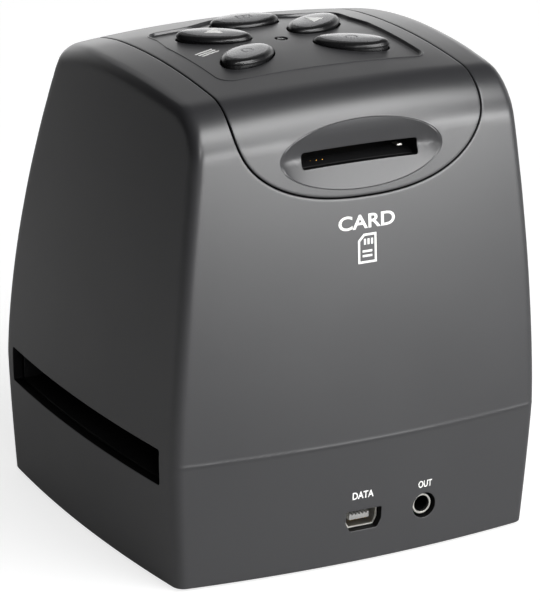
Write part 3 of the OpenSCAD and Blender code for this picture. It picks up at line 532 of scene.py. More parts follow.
def triangulated(flat, loops, flat_edges):
    """Triangles between flat points that keep the loops as edges and stay inside the sheet's edges."""
    joins, base = [], 0
    for loop in loops:
        joins += [(base + i, base + (i + 1) % len(loop)) for i in range(len(loop))]
        base += len(loop)
    made, _, faces, origin, _, _ = delaunay_2d_cdt([Vector(p) for p in flat], joins, [], 0, 1e-7, True)
    source = np.array([ids[0] if ids else -1 for ids in origin])
    faces = np.array(faces)
    made = np.array([(v.x, v.y) for v in made])
    good = inside(made[faces].mean(1), flat_edges) & (source[faces] >= 0).all(1)
    if (source < 0).any():
        print("  outlines cross at", (source < 0).sum(), "points")
    return source[faces[good]]


def sheet_mesh(loops, lines=(), extra=None, sink=None, gap=0.09, roll=0.3, wall=WALL, depth=0.0, spacing=0.8):
    """A closed sheet as points (mm) and faces, and 1 for each face inside an edge and 0 for the rest.

    loops[0] bounds the sheet and the others are holes in it. roll is one radius, or one for each outline.
    lines are kept as edges of the mesh, extra points make it denser, and sink moves its surface.
    """
    sink = sink or (lambda p: 0 * p)
    rolls = roll if isinstance(roll, list) else [roll] * len(loops)
    edges, rows = [], []
    for k, (loop, r) in enumerate(zip(loops, rolls)):
        if (area(flatten(loop)) > 0) != (k == 0):
            loop = loop[::-1]
        way = into_sheet(loop)
        edges.append(onto_skin(loop + way * (gap + r)))
        curl = [(gap + r * (1 - math.sin(a)), r * (1 - math.cos(a))) for a in ROLL_ANGLES]
        rows.append([(onto_skin(loop + way * s), d) for s, d in curl + [(gap, wall)]])
    kept = edges + list(lines)
    fixed = np.concatenate(kept)
    support = np.concatenate([onto_skin(e + into_sheet(e) * SUPPORT_IN) for e in edges])
    fill = SKIN_POINTS if extra is None else np.concatenate([SKIN_POINTS, extra])
    loose = np.concatenate([clear_of(support, fixed, SUPPORT_GAP), clear_of(fill, fixed, spacing)])
    flat_edges = [flatten(e) for e in edges]
    points = np.concatenate([fixed, loose[inside(flatten(loose), flat_edges)]])
    faces = triangulated(flatten(points), kept, flat_edges)
    normal = outward(points)
    n = len(points)
    coords = [points - normal * depth + sink(points), points - normal * (depth + wall) + sink(points)]
    all_faces = [tuple(f) for f in faces] + [(c + n, b + n, a + n) for a, b, c in faces]
    in_edge = [0] * len(all_faces)
    total, base = 2 * n, 0
    for edge, stack in zip(edges, rows):
        m = len(edge)
        ring = np.arange(base, base + m)
        rings = [ring]
        for p, d in stack:
            coords.append(p - outward(p) * (depth + d) + sink(p))
            rings.append(np.arange(total, total + m))
            total += m
        rings.append(ring + n)
        for k, (a, b) in enumerate(zip(rings, rings[1:])):
            all_faces += list(zip(a, b, np.roll(b, -1), np.roll(a, -1)))
            in_edge += [int(k >= len(ROLL_ANGLES))] * m
        base += m
    coords = np.concatenate(coords)
    used = np.zeros(len(coords), bool)
    used[[i for f in all_faces for i in f]] = True
    number = np.cumsum(used) - 1
    return (coords[used], [tuple(int(number[i]) for i in f) for f in all_faces]), in_edge


# %% From a shape to a named piece
def piece(name, shape, slot, nodes=(), paint=None, body="casing", sharp=24.0, turns=None):
    """A named mesh from points (mm, above the shell's lower edge) and faces, which rides on a body.

    paint is one material or several, of which turns gives each face its own by number.
    """
    points, faces = shape
    mesh = bpy.data.meshes.new(name)
    lifted = (np.asarray(points, float) + np.array([0, 0, FOOT_H])) * MM
    mesh.from_pydata(lifted.tolist(), [], faces)
    for one in paint if isinstance(paint, list) else [paint or PAINTS[slot]]:
        mesh.materials.append(one)
    if turns is not None:
        mesh.polygons.foreach_set("material_index", turns)
    mesh.shade_smooth()
    mesh.set_sharp_from_angle(angle=math.radians(sharp))
    mesh.validate()
    made = placed(name, mesh)
    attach(made, body)
    if nodes:
        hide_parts(*nodes)
    print(f"  {name}: {len(mesh.vertices)} points, {len(mesh.polygons)} faces")


# %% [markdown]
# ## Textures for the finishes
# A finish needs three things: a pattern at its real scale, a little unevenness in gloss, and a surface that
# the pattern tilts. These helpers make them, and the finishes below combine them.

# %% Helpers for finishes
def pattern(tree, kind, size_mm, settings=None, stretch=(1, 1, 1)):
    """A texture in the piece's own space with features of about size_mm, squeezed along each axis."""
    place = add(tree, "TexCoord")
    fit = add(tree, "Mapping", {"Scale": stretch}, {"Vector": place.outputs["Object"]})
    return add(tree, kind, {"Scale": per_metre(size_mm), **(settings or {})}, {"Vector": fit})


def uneven_gloss(tree, shader, height, low, high):
    """Roughness that runs from low to high with a pattern."""
    span = {"From Min": 0.3, "From Max": 0.7, "To Min": low, "To Max": high}
    spread = add(tree, "MapRange", span, {"Value": height})
    tree.links.new(spread.outputs[0], shader.inputs["Roughness"])


def relief(tree, shader, height, height_mm, strength=0.4):
    """A pattern that tilts the surface as if it stood height_mm high."""
    bump = add(tree, "Bump", {"Strength": strength, "Distance": height_mm * MM}, {"Height": height})
    tree.links.new(bump.outputs[0], shader.inputs["Normal"])


def two_tone(tree, shader, share, first, second, low=0.35, high=0.65):
    """A base colour that goes from the first colour to the second with a pattern."""
    ramp = add(tree, "ValToRGB", links={"Fac": share})
    for stop, position, colour in zip(ramp.color_ramp.elements, (low, high), (first, second)):
        stop.position = position
        stop.color = linear(colour)
    tree.links.new(ramp.outputs[0], shader.inputs["Base Color"])


# %% Kinds of finish
def moulded(name, colour, worn, low, high, grain_mm=0.4, height_mm=0.01, settings=None):
    """Plastic or rubber from a mould: fine grain, slow flow marks, and slightly uneven colour."""
    made, tree, shader = material(name, colour, (low + high) / 2, settings)
    flow = pattern(tree, "TexNoise", 9.0, {"Detail": 3.0})
    # A real mould's grain is near 0.05 mm. It is drawn several times coarser, so that it shows.
    grain = pattern(tree, "TexNoise", grain_mm, {"Detail": 2.0})
    two_tone(tree, shader, flow, colour, worn)
    uneven_gloss(tree, shader, flow, low, high)
    relief(tree, shader, grain, height_mm)
    return made


def plated(name, colour, worn, low, high, along=(1, 1, 1), streak_mm=0.25):
    """Metal: streaks along the way it was rolled, drawn or turned, and slightly uneven gloss."""
    made, tree, shader = material(name, colour, (low + high) / 2, {"Metallic": 1.0})
    # Real streaks are a few hundredths of a millimetre apart. These are coarser, so that they show.
    streaks = pattern(tree, "TexNoise", streak_mm, {"Detail": 2.0}, along)
    tarnish = pattern(tree, "TexNoise", 2.5, {"Detail": 3.0})
    two_tone(tree, shader, tarnish, colour, worn)
    uneven_gloss(tree, shader, streaks, low, high)
    relief(tree, shader, streaks, 0.004, 0.3)
    return made


def clear(name, colour, ior, haze):
    """Glass or clear plastic: almost smooth, with a faint haze that varies over the face."""
    made, tree, shader = material(name, colour, haze, {"IOR": ior, "Transmission Weight": 1.0})
    wiped = pattern(tree, "TexNoise", 5.0, {"Detail": 4.0}, (1, 1, 0.3))
    uneven_gloss(tree, shader, wiped, haze * 0.5, haze * 1.5)
    return made


# %% [markdown]
# ## Satin ABS
# The shell is ABS, moulded in a tool with a fine spark-eroded surface. That grain scatters the lamps into a
# broad, soft sheen with no sharp reflection. The real grain is near 0.05 mm, too fine to show, so it is
# drawn at 0.3 mm with a shallow bump, and a slow change of roughness stands for the flow of the melt. The
# walls along its edges and inside its openings take a duller, near-black ABS: painted shade, darker than the
# shell's own black.

# %% Satin ABS
GRAIN_MM, FLOW_MM, SHELL_ROUGHNESS = 0.3, 22.0, (0.32, 0.35)
satin_abs, tree, shader = material("satin_abs", "#2d2d2f", 0.335, {"IOR": 1.53, "Specular IOR Level": 0.8})
flow = pattern(tree, "TexNoise", FLOW_MM, {"Detail": 3.0})
grain = pattern(tree, "TexNoise", GRAIN_MM, {"Detail": 2.0})
uneven_gloss(tree, shader, flow, *SHELL_ROUGHNESS)
relief(tree, shader, grain, 0.02, 0.12)
# Near black and dull: painted shade for the walls along the shells' edges and inside their openings.
shade_black_abs = moulded("painted_shade_black_abs", "#080809", "#0c0c0d", 0.55, 0.65, 0.35, 0.02, {"Specular IOR Level": 0.15})
print("roughness of the shell:", SHELL_ROUGHNESS)

# %% [markdown]
# ## Parting lines and openings
# The cover lies over the top like a saddle and ends in a half-oval tongue at the rear. Its parting lines
# run over the skin, so they are drawn in two dimensions and cast onto it. The housing is the rest of the
# skin, with openings for the film, the sockets and the front panel.

# %% Parting lines of the cover
PART_X, PART_BEND, PART_BEND_Y, PART_FRONT_Y = 28.2, 0.0002, 34, -30.0
TONGUE_H, TONGUE_DROP, TONGUE_POWER = 94.9, 18.1, 2.4
COVER_FRONT_H, PART_HUB_H = 90.0, 66.0
PART_CORNER, PART_STEP = 0.7, 0.7


def part_x(y):
    """Half the width between the two side parting lines at depth y."""
    return PART_X - PART_BEND * np.minimum(y - PART_BEND_Y, 0) ** 2


def tongue_line(steps=160):
    """The parting line down the rear, from the +X side to the -X side."""
    t = np.linspace(0, math.pi, steps)
    x = PART_X * np.sign(np.cos(t)) * np.abs(np.cos(t)) ** (2 / TONGUE_POWER)
    h = TONGUE_H - TONGUE_DROP * np.sin(t) ** (2 / TONGUE_POWER)
    return on_rear(np.stack([x, h], -1))


def over_the_top(side, steps=300):
    """A side parting line, from the tongue over the top to the cover's front edge."""
    rear = on_rear([(side * PART_X, TONGUE_H)])[0]
    front = on_front([(side * part_x(PART_FRONT_Y), COVER_FRONT_H)])[0]
    a0 = math.atan2(rear[2] - PART_HUB_H, rear[1])
    a1 = math.atan2(front[2] - PART_HUB_H, front[1]) % (2 * math.pi)
    a = np.linspace(a0, a1, steps)
    ways = np.stack([0 * a, np.cos(a), np.sin(a)], -1)
    line = cast(np.array([side * PART_X, 0, PART_HUB_H]) + 0 * ways, ways)
    for _ in range(3):
        line = cast(np.stack([side * part_x(line[:, 1]), 0 * a, 0 * a + PART_HUB_H], -1), ways)
    return line


front_x = float(part_x(PART_FRONT_Y))
across = np.linspace(-front_x, front_x, 90)
cover_front = on_front(np.stack([across, 0 * across + COVER_FRONT_H], -1))
over_and_down = np.concatenate([over_the_top(1)[::-1], tongue_line()[1:-1], over_the_top(-1)])
cover_loop = onto_skin(joined([over_and_down, cover_front], PART_CORNER, PART_STEP))
print("cover outline:", len(cover_loop), "points")

# %% Openings of the housing
PANEL_LOW, PANEL_CORNER, OPENING_STEP = 36.0, 5.0, 0.8
FILM_HALF, FILM_FLOOR, FILM_TOP, FILM_CORNER = 34.0, 20.9, 28.2, 0.5
JACK_X, JACK_H, JACK_HOLE_R = -14.4, 9.1, 2.6
USB_H, USB_W, USB_T = 8.75, 7.7, 3.9
USB_SLANT, USB_CORNER, USB_GAP = 0.9, 0.25, 0.12


def usb_outline(grow, step=0.4):
    """The outline of the small five-pin socket, wider at its upper edge."""
    w, t = USB_W / 2 + grow, USB_T / 2 + grow
    tips = [(-w, t), (-w, -0.15 * t), (-w + USB_SLANT, -t), (w - USB_SLANT, -t), (w, -0.15 * t), (w, t)]
    return rounded([(x, USB_H + h) for x, h in tips], USB_CORNER, step)


def panel_outline():
    """The panel's outline below the cover: down one side, across and up the other."""
    r = PANEL_CORNER
    turn = np.linspace(0, math.pi / 2, 9)
    left = np.stack([front_x - r + r * np.cos(turn), PANEL_LOW + r - r * np.sin(turn)], -1)
    ends = [[(front_x, COVER_FRONT_H)], [(-front_x, COVER_FRONT_H)]]
    flat = np.concatenate([ends[0], left, left[::-1] * (-1, 1), ends[1]])
    return picked(flat, np.arange(0, distances(flat)[-1], PART_STEP))


panel_sides = on_front(panel_outline())
opening_loop = onto_skin(joined([np.concatenate([over_and_down, panel_sides[::-1]])], 0, OPENING_STEP))
film_slot = rectangle(-FILM_HALF, FILM_HALF, FILM_FLOOR, FILM_TOP, FILM_CORNER)
usb_loop = on_rear(usb_outline(USB_GAP))
jack_loop = on_rear(oval(JACK_HOLE_R, JACK_HOLE_R, (JACK_X, JACK_H), steps=48))
print("opening for cover and panel:", len(opening_loop), "points")

# %% The housing
SHELL_GAP = 0.14
RIDGE_MM, RIDGE_HALF, RIDGE_Y, RIDGE_FADE = 0.07, 0.5, 36, 3


def housing_sink(p):
    """A fine ridge along the crease of the rear face, left by the joint of the mould."""
    near = np.clip(1 - np.abs(p[..., 2] - CREASE_H) / RIDGE_HALF, 0, 1)
    out = np.zeros_like(p)
    out[..., 1] = RIDGE_MM * near * np.clip((p[..., 1] - RIDGE_Y) / RIDGE_FADE, 0, 1)
    return out


ridge_rows = [ring_at(CREASE_H + v) for v in (-RIDGE_HALF, -0.25, 0.25, RIDGE_HALF)]
film_loops = [on_side(film_slot, side) for side in (1, -1)]
loops = [ring_at(-LOWER_LIP), opening_loop, *film_loops, usb_loop, jack_loop]
rolls = [0.2, 0.26, 0.08, 0.08, 0.06, 0.06]
shape, in_edge = sheet_mesh(loops, (), np.concatenate(ridge_rows), housing_sink, SHELL_GAP, rolls)
# The walls along its edges and inside its openings take the near-black painted shade.
piece("housing_shell", shape, "shell_plastic", ["housing"], [satin_abs, shade_black_abs], turns=in_edge)

# %% [markdown]
# ## The cover
# The cover is cut from the same skin. A shallow recess with a raised lip holds the keys, and a finger scoop
# leads to the card slot. Both could be modelled as separate surfaces, but a function that says how deep
# each point sinks keeps the cover one sheet, with extra outlines where the depth changes quickly.

# %% Recess around the keys
RECESS_HALF, RECESS_REAR, RECESS_FRONT, RECESS_R = 23.2, 24.0, -12.6, 3.0
RECESS_DEPTH, RECESS_STEP, LIP_MM, LIP_OUT, LIP_RAMP = 0.5, 0.42, 0.12, 0.42, 0.17
# The recess bulges this far round the front key and flows into that bulge.
BULGE_OUT, BULGE_FLOW = 2, 4.0
# The keys point at a spot this far behind the middle, and the status light shines beside it.
HUB_Y = 5.0
LIGHT = (-0.3, 4.6)
KEY_L, KEY_W, KEY_RISE = 15.4, 9.0, 1.5
KEYS = {
    "up": (11.6, -2.1),
    "down": (-11.6, -2.1),
    "menu": (11.9, 12.9),
    "power": (-11.9, 12.9),
    "mode": (0.0, -10.7),
}


def recess_edge(p):
    """How far a point of the plan lies outside the recess, with the bulge round the front key."""
    x, y = p[..., 0], p[..., 1]
    mid = (RECESS_REAR + RECESS_FRONT) / 2
    half = (RECESS_REAR - RECESS_FRONT) / 2
    dx = np.abs(x) - (RECESS_HALF - RECESS_R) + np.clip(-y / 6, 0, 1)
    dy = np.abs(y - mid) - (half - RECESS_R)
    box = np.hypot(np.maximum(dx, 0), np.maximum(dy, 0)) + np.minimum(np.maximum(dx, dy), 0) - RECESS_R
    a, b = KEY_L / 2 + BULGE_OUT, KEY_W / 2 + BULGE_OUT
    share = np.hypot(x / a, (y - KEYS["mode"][1]) / b)
    bulge = (share - 1) * (a + b) / 2 * 0.8
    mix = np.clip(0.5 + 0.5 * (bulge - box) / BULGE_FLOW, 0, 1)
    return bulge * (1 - mix) + box * mix - BULGE_FLOW * mix * (1 - mix)


def recess_line(level, steps=260):
    """The outline where recess_edge has this value."""
    t = np.linspace(0, 2 * math.pi, steps, endpoint=False)
    way = np.stack([np.cos(t), np.sin(t)], -1)
    hub = np.array([0, HUB_Y])
    low, _ = halved(lambda r: recess_edge(hub + way * r[:, None]) > level, 0 * t, 0 * t + 40.0, 40)
    return hub + way * low[:, None]


# %% The finger scoop and the card slot
SCOOP_X, SCOOP_H, SCOOP_A, SCOOP_B = 0.55, 85.25, 18.1, 6.85
SCOOP_DEPTH, SCOOP_POWER, SCOOP_ROUNDER, SCOOP_END = 2.8, 1.15, 0.5, 0.66
SCOOP_GROOVE, GROOVE_HALF = 0.12, 0.014
CARD_X, CARD_H, SLOT_W, SLOT_T = 0.35, 84.7, 25.8, 3.0
REAR_HALF_Y, TOP_FROM_H = 20, 90


def scoop_sink(p):
    """The depth of the scoop: two even slopes that meet behind the slot, rounder at its ends, in a groove."""
    u, v = (p[..., 0] - SCOOP_X) / SCOOP_A, (p[..., 2] - SCOOP_H) / SCOOP_B
    share = np.where(p[..., 1] > REAR_HALF_Y, np.hypot(u, v), 9.0)
    room = np.maximum(1 - u * u, 1e-4)
    slope_share = np.minimum(np.abs(v) / np.sqrt(room), 1)
    power = SCOOP_POWER + SCOOP_ROUNDER * np.minimum(np.abs(u), 1) ** 3
    dish = np.where(share < 1, room**SCOOP_END * (1 - slope_share**power), 0)
    return SCOOP_DEPTH * dish + SCOOP_GROOVE * np.clip(1 - np.abs(share - 1) / GROOVE_HALF, 0, 1)


def cover_sink(p):
    """How the cover's surface is moved: down into the recess with a lip round it, and into the scoop."""
    edge = recess_edge(p[..., :2])
    step = np.clip(-edge / RECESS_STEP, 0, 1)
    lip = np.clip((LIP_OUT - edge) / LIP_RAMP, 0, 1) * (1 - step)
    down = RECESS_DEPTH * step * step * (3 - 2 * step)
    out = np.zeros_like(p)
    out[..., 2] = np.where(p[..., 2] > TOP_FROM_H, LIP_MM * lip - down, 0)
    out[..., 1] = -scoop_sink(p)
    return out


def key_turn(centre):
    """The heading of a key's long way, in degrees: it points at one spot between the keys."""
    x, y = centre
    return 0.0 if x == 0 else math.degrees(math.atan2(y - HUB_Y, x))


# %% The cover
LIGHT_HOLE_R = 1.25
key_loops = [on_top(oval(KEY_L / 2, KEY_W / 2, c, key_turn(c), 76)) for c in KEYS.values()]
light_loop = on_top(oval(LIGHT_HOLE_R, LIGHT_HOLE_R, LIGHT, steps=30))
slot_sides = (CARD_X - SLOT_W / 2, CARD_X + SLOT_W / 2, CARD_H - SLOT_T / 2, CARD_H + SLOT_T / 2)
slot_loop = on_rear(rectangle(*slot_sides, 0.5, 0.7))
# Outlines down the recess's step, at its lip, and on the floor beside it.
offsets = [-RECESS_STEP * s for s in (0.0, 0.15, 0.3, 0.45, 0.6, 0.75, 0.9, 1.0)]
offsets += [0.1, 0.25, 0.42, -RECESS_STEP - 0.12, -RECESS_STEP - 0.35]
recess_lines = [on_top(recess_line(v)) for v in offsets]
# Ovals across the scoop's groove are kept as edges; the inner ones only make the mesh denser.
groove_ovals = [(1.035, 150), (1.014, 150), (1.0, 150), (0.986, 150), (0.965, 150)]
inner_ovals = [(0.93, 120), (0.88, 110), (0.8, 100), (0.7, 90), (0.6, 80), (0.5, 70), (0.4, 60), (0.3, 50)]


def scoop_rings(shares):
    """Ovals like the scoop's edge, of these shares of its size and with this many points."""
    return [on_rear(oval(SCOOP_A * s, SCOOP_B * s, (SCOOP_X, SCOOP_H), steps=n)) for s, n in shares]


shape, in_edge = sheet_mesh(
    [cover_loop] + key_loops + [light_loop, slot_loop],
    lines=recess_lines + scoop_rings(groove_ovals),
    extra=np.concatenate(scoop_rings(inner_ovals)),
    sink=cover_sink,
    gap=SHELL_GAP,
    roll=[0.22] + [0.12] * 6 + [0.08],
    spacing=0.42,
)
# The walls along its edges and inside its holes take the near-black painted shade.
piece("top_cover_shell", shape, "shell_plastic", ["top_cover"], [satin_abs, shade_black_abs], turns=in_edge)

# %% [markdown]
# ## Building blocks for small parts
# Most small parts are turned, rolled or pressed, so three builders cover them: a profile turned about an
# axis, a stack of rings joined into a tube, and a block with bevelled edges. Each gives a shape, which is a
# list of points and a list of faces, so several can be joined into one piece.

# %% Turned profiles and tubes
def turned(profile, centre, axis="h", steps=48):
    """A profile of (radius, place along the axis) turned about an upright axis, or one along the depth."""
    t = np.linspace(0, 2 * math.pi, steps, endpoint=False)
    points, rings = [], []
    for r, along in profile:
        here = t if r > 0 else t[:1]
        rings.append([len(points) + i for i in range(len(here))])
        for a in here:
            u, v = r * math.cos(a), r * math.sin(a)
            upright = (centre[0] + u, centre[1] + v, along)
            points.append(upright if axis == "h" else (centre[0] - u, along, centre[1] + v))
    return points, rings_joined(rings)


def rings_joined(rings):
    """Faces between rings of point numbers, where a ring of one point is a tip."""
    faces = []
    for low, high in zip(rings, rings[1:]):
        n = max(len(low), len(high))
        for i in range(n):
            j = (i + 1) % n
            corners = (low[i % len(low)], low[j % len(low)], high[j % len(high)], high[i % len(high)])
            corners = tuple(dict.fromkeys(corners))
            if len(corners) > 2:
                faces.append(corners)
    return faces


def numbered(rows):
    """The numbers of the points in rings that have the same number of points."""
    n = len(rows[0])
    return [list(range(k * n, (k + 1) * n)) for k in range(len(rows))]


def tube(rows):
    """A closed tube from rings with the same number of points; the last joins the first."""
    rings = numbered(rows)
    return [tuple(p) for row in rows for p in row], rings_joined(rings + rings[:1])


# %% Blocks, and several shapes as one
def block(x, y, h, bevel):
    """A block between two limits along each axis, with its edges bevelled."""
    made = bmesh.new()
    bmesh.ops.create_cube(made, size=1)
    for v in made.verts:
        v.co = [(a + b) / 2 + c * (b - a) for (a, b), c in zip((x, y, h), v.co)]
    rim = {"offset": bevel, "segments": 2, "profile": 0.5, "affect": "EDGES", "clamp_overlap": True}
    bmesh.ops.bevel(made, geom=list(made.edges), **rim)
    shape = [tuple(v.co) for v in made.verts], [tuple(v.index for v in f.verts) for f in made.faces]
    made.free()
    return shape


def together(*shapes):
    """Several shapes as one."""
    points, faces = [], []
    for some_points, some_faces in shapes:
        faces += [tuple(i + len(points) for i in face) for face in some_faces]
        points += [tuple(v) for v in some_points]
    return points, faces


# %% [markdown]
# ## Plastics and rubber
# Inner parts are black ABS that was never polished, so they are duller than the shell. Connector bodies are
# glass-filled resin, dull and slightly grey. Diffusers and slides are white. Feet are soft rubber.

# %% Plastics and rubber
PAINTS = {
    "shell_plastic": satin_abs,
    # Never polished, so a dull black that swallows the light inside.
    "inner_plastic": moulded("unpolished_black_abs", "#101011", "#161617", 0.5, 0.62, 0.35, 0.02),
    # Glass fibres reach its surface and make it slightly grey and dry.
    "black_resin": moulded("glass_filled_resin", "#131314", "#1c1c1d", 0.42, 0.55, 0.25, 0.015),
    # Warm white and half dull, so that it spreads light.
    "white_plastic": moulded("white_polycarbonate", "#dedcd4", "#e6e5de", 0.38, 0.5, 0.5, 0.008),
    # Soft and dry, with almost no shine.
    "foot_rubber": moulded("soft_silicone_rubber", "#141414", "#1d1d1d", 0.7, 0.85, 0.5, 0.03),
    # Yellow phosphor under a smooth skin of silicone.
    "led_resin": moulded("phosphor_silicone", "#e3cf63", "#ead98c", 0.25, 0.35, 0.3, 0.01),
}

# %% Flat cables
CORE_MM, TRACK_PAIR_MM = 0.64, 0.8
# Insulated wires side by side: a ribbed, satin grey band, with painted shade: lighter on the cores, darker in
# the grooves between them.
PAINTS["ribbon_grey"], tree, shader = material("grey_pvc_ribbon", "#8b8b8e", 0.45)
cores = pattern(tree, "TexWave", CORE_MM, {"bands_direction": "X", "Distortion": 0.0})
two_tone(tree, shader, cores, "#737376", "#929295")
relief(tree, shader, cores, 0.2, 0.6)
# Amber film over copper tracks, which show as lighter lines under a glossy coat.
PAINTS["flex_film"], tree, shader = material("polyimide_film", "#a85e22", 0.25, {"Coat Weight": 0.4})
tracks = pattern(tree, "TexWave", TRACK_PAIR_MM, {"bands_direction": "X", "Distortion": 0.0})
two_tone(tree, shader, tracks, "#8a4a18", "#c07a35", 0.45, 0.55)
relief(tree, shader, tracks, 0.03, 0.5)
print("plastics:", len(PAINTS))

# %% [markdown]
# ## Metals
# Screws are zinc plated, so they are bluish grey with a soft shine. Socket shells are bright tin. Spring
# wire is drawn, so its streaks run along it. Contacts are gold over nickel. The lens barrel is turned from
# aluminium and anodised black, which leaves a dull, faintly ringed surface.

# %% Metals
METALS = {
    # slot: name, colour, worn colour, lowest and highest roughness, stretch of the streaks
    "screw_steel": ("zinc_plated_steel", "#b4b7bd", "#9ea2a9", 0.26, 0.4),
    "plated_steel": ("tin_plated_steel", "#dedcd6", "#cdccc6", 0.34, 0.46, (1, 0.15, 1)),
    "spring_steel": ("drawn_spring_wire", "#a9aaae", "#8e9095", 0.22, 0.34, (1, 1, 0.2)),
    "gold_contacts": ("gold_plating", "#d8ac4e", "#c79a3f", 0.14, 0.24, (1, 0.2, 1)),
    "barrel_aluminium": ("black_anodised_aluminium", "#232326", "#2d2d31", 0.32, 0.45, (0.2, 0.2, 1)),
}
for slot, values in METALS.items():
    PAINTS[slot] = plated(*values)
print("metals:", len(METALS))

# %% [markdown]
# ## Boards, screen and glass
# A circuit board is green lacquer over copper tracks: the tracks show as slightly lighter, raised lines. The
# screen is a dark polariser behind the window. The lens is plain optical glass, the filter in front of the
# sensor has a cyan coat, and the sensor shows dark silicon through its cover glass.

# %% Boards, screen and glass
# Real tracks are 0.3 mm apart, screen pixels 0.1 mm and sensor cells far less. All are coarser, to show.
TRACK_MM, PIXEL_MM = 1.5, 0.25
# Glossy lacquer, with tracks that catch the light at their edges.
PAINTS["circuit_board"], tree, shader = material("solder_mask", "#1a5330", 0.25, {"Coat Weight": 0.3})
tracks = pattern(tree, "TexVoronoi", TRACK_MM, {"feature": "DISTANCE_TO_EDGE", "Randomness": 0.4})
two_tone(tree, shader, tracks, "#2f7a48", "#174a2b", 0.05, 0.12)
relief(tree, shader, tracks, 0.04, 0.3)
# A screen that is off: near black, smooth, with a faint grid of cells.
PAINTS["display"], tree, shader = material("dark_polariser", "#08090b", 0.12, {"IOR": 1.5})
pixels = pattern(tree, "TexVoronoi", PIXEL_MM, {"Randomness": 0.0, "distance": "CHEBYCHEV"})
two_tone(tree, shader, pixels, "#0c0e12", "#060607", 0.3, 0.5)
# Violet and green silicon, deep under a clear glossy coat.
PAINTS["sensor_glass"], tree, shader = material("silicon_under_glass", "#262b36", 0.08, {"Coat Weight": 1.0})
cells = pattern(tree, "TexVoronoi", PIXEL_MM, {"Randomness": 0.0})
two_tone(tree, shader, cells, "#2c2438", "#1e2c33", 0.2, 0.6)
# Clear, tinted and smoked: the lens, the filter and the light pipe.
PAINTS["optical_glass"] = clear("crown_glass", "#f2f6f4", 1.52, 0.01)
PAINTS["filter_glass"] = clear("coated_filter_glass", "#bfe3e0", 1.52, 0.015)
PAINTS["light_pipe"] = clear("smoked_polycarbonate", "#5c5e62", 1.58, 0.06)

# %% Finishes on the pieces that stay as packed
slots = {s["node"]: s["material_slot"] for s in frame["record"]["subparts"]}
for name, node_object in frame["nodes"].items():
    if slots[name] in PAINTS:
        node_object.data.materials.clear()
        node_object.data.materials.append(PAINTS[slots[name]])
print("finishes:", len(PAINTS))

# %% [markdown]
# ## Front panel and window
# The panel round the screen is ABS from a polished mould, so it mirrors the room like black glass. It could
# be painted glass, but a bent sheet that follows the skin and rolls in at its edges shows that it is a
# moulded cover. The window is cast acrylic, set 0.3 mm back in the panel.

# %% Front panel and window
WINDOW_W, WINDOW_T, WINDOW_H, WINDOW_CORNER = 49.4, 37.4, 66.0, 1.2
PANE_T, PANE_BACK = 1.2, 0.3
# Polished in the mould: deep black, with only faint wiping marks in its gloss.
polished_abs, tree, shader = material("polished_abs", "#0c0c0d", 0.07, {"IOR": 1.53})
wiped = pattern(tree, "TexNoise", 7.0, {"Detail": 4.0}, (0.3, 1, 1))
uneven_gloss(tree, shader, wiped, 0.05, 0.11)
panel_loop = onto_skin(joined([panel_sides, cover_front], PART_CORNER, PART_STEP))
window_sides = (-WINDOW_W / 2, WINDOW_W / 2, WINDOW_H - WINDOW_T / 2, WINDOW_H + WINDOW_T / 2)
window_loop = on_front(rectangle(*window_sides, WINDOW_CORNER))
shape, in_edge = sheet_mesh([panel_loop, window_loop], gap=0.1, roll=0.26)
# The walls along its edges and round the window take the near-black painted shade.
piece("front_panel_shell", shape, "panel_plastic", ["front_panel"], [polished_abs, shade_black_abs], turns=in_edge)
# Clear and almost colourless, with a trace of haze.
cast_acrylic = clear("cast_acrylic", "#d9dde2", 1.49, 0.015)
shape, _ = sheet_mesh([window_loop], gap=0.05, roll=0.15, wall=PANE_T, depth=PANE_BACK)
piece("screen_window_pane", shape, "window_acrylic", ["lcd_window"], cast_acrylic)

# %% [markdown]
# ## Keys
# Each key is one moulding: a neck that goes down through the cover, a polished round flank and a satin
# painted top. The flank is widest a little above the cover and tucks in below that, which leaves a dark
# line round its foot. A stack of ovals follows this, and the top takes its own paint.

# %% Finishes of the keys
# Satin grey lacquer: it turns pale where it mirrors a lamp and stays dark beside that.
satin_paint, tree, shader = material("satin_key_paint", "#626264", 0.2, {"Specular IOR Level": 0.9})
grain = pattern(tree, "TexNoise", 0.3, {"Detail": 2.0})
two_tone(tree, shader, grain, "#5c5c5e", "#6c6c6e")
relief(tree, shader, grain, 0.004, 0.05)
# Black and smooth, so that it draws one bright line along the flank.
polished_flank, tree, shader = material("polished_key_flank", "#161617", 0.28, {"IOR": 1.53})
wiped = pattern(tree, "TexNoise", 3.0, {"Detail": 3.0})
uneven_gloss(tree, shader, wiped, 0.25, 0.32)
print("finishes of the keys: 2")

# %% Ovals of a key
END_POWER = 0.56
FLANK_RUN, FLANK_FOOT, FLANK_BELOW, NECK_IN = 1.35, 0.42, 0.18, 0.24
# How the top rounds over: heights above the flank's end and how far further in.
TOP_ROUND, TOP_IN = [(0.05, 0.04), (0.09, 0.3), (0.14, 1.1)], 2.2
# The flange that holds a key under the cover, and the stem that reaches its switch.
FLANGE_LOW, FLANGE_HIGH, FLANGE_OUT = 1.5, 0.8, 0.6
STEM_H, STEM_R, STEM_BEVEL = 94.5, 1.4, 0.1


def key_ring(inset, centre, height, steps=84):
    """One oval of a key, slightly pointed at its ends."""
    t = np.linspace(0, 2 * math.pi, steps, endpoint=False)
    u = (KEY_L / 2 - inset) * np.cos(t)
    v = (KEY_W / 2 - inset) * np.sign(np.sin(t)) * np.abs(np.sin(t)) ** (2 * END_POWER)
    return [(x, y, height) for x, y in turned_flat(u, v, centre, key_turn(centre))]


# %% Key caps
def key_levels(centre):
    """Heights of a key's top face and of the recess floor beside it."""
    floor_h = on_top([centre])[0][2] - RECESS_DEPTH
    return floor_h + KEY_RISE, floor_h


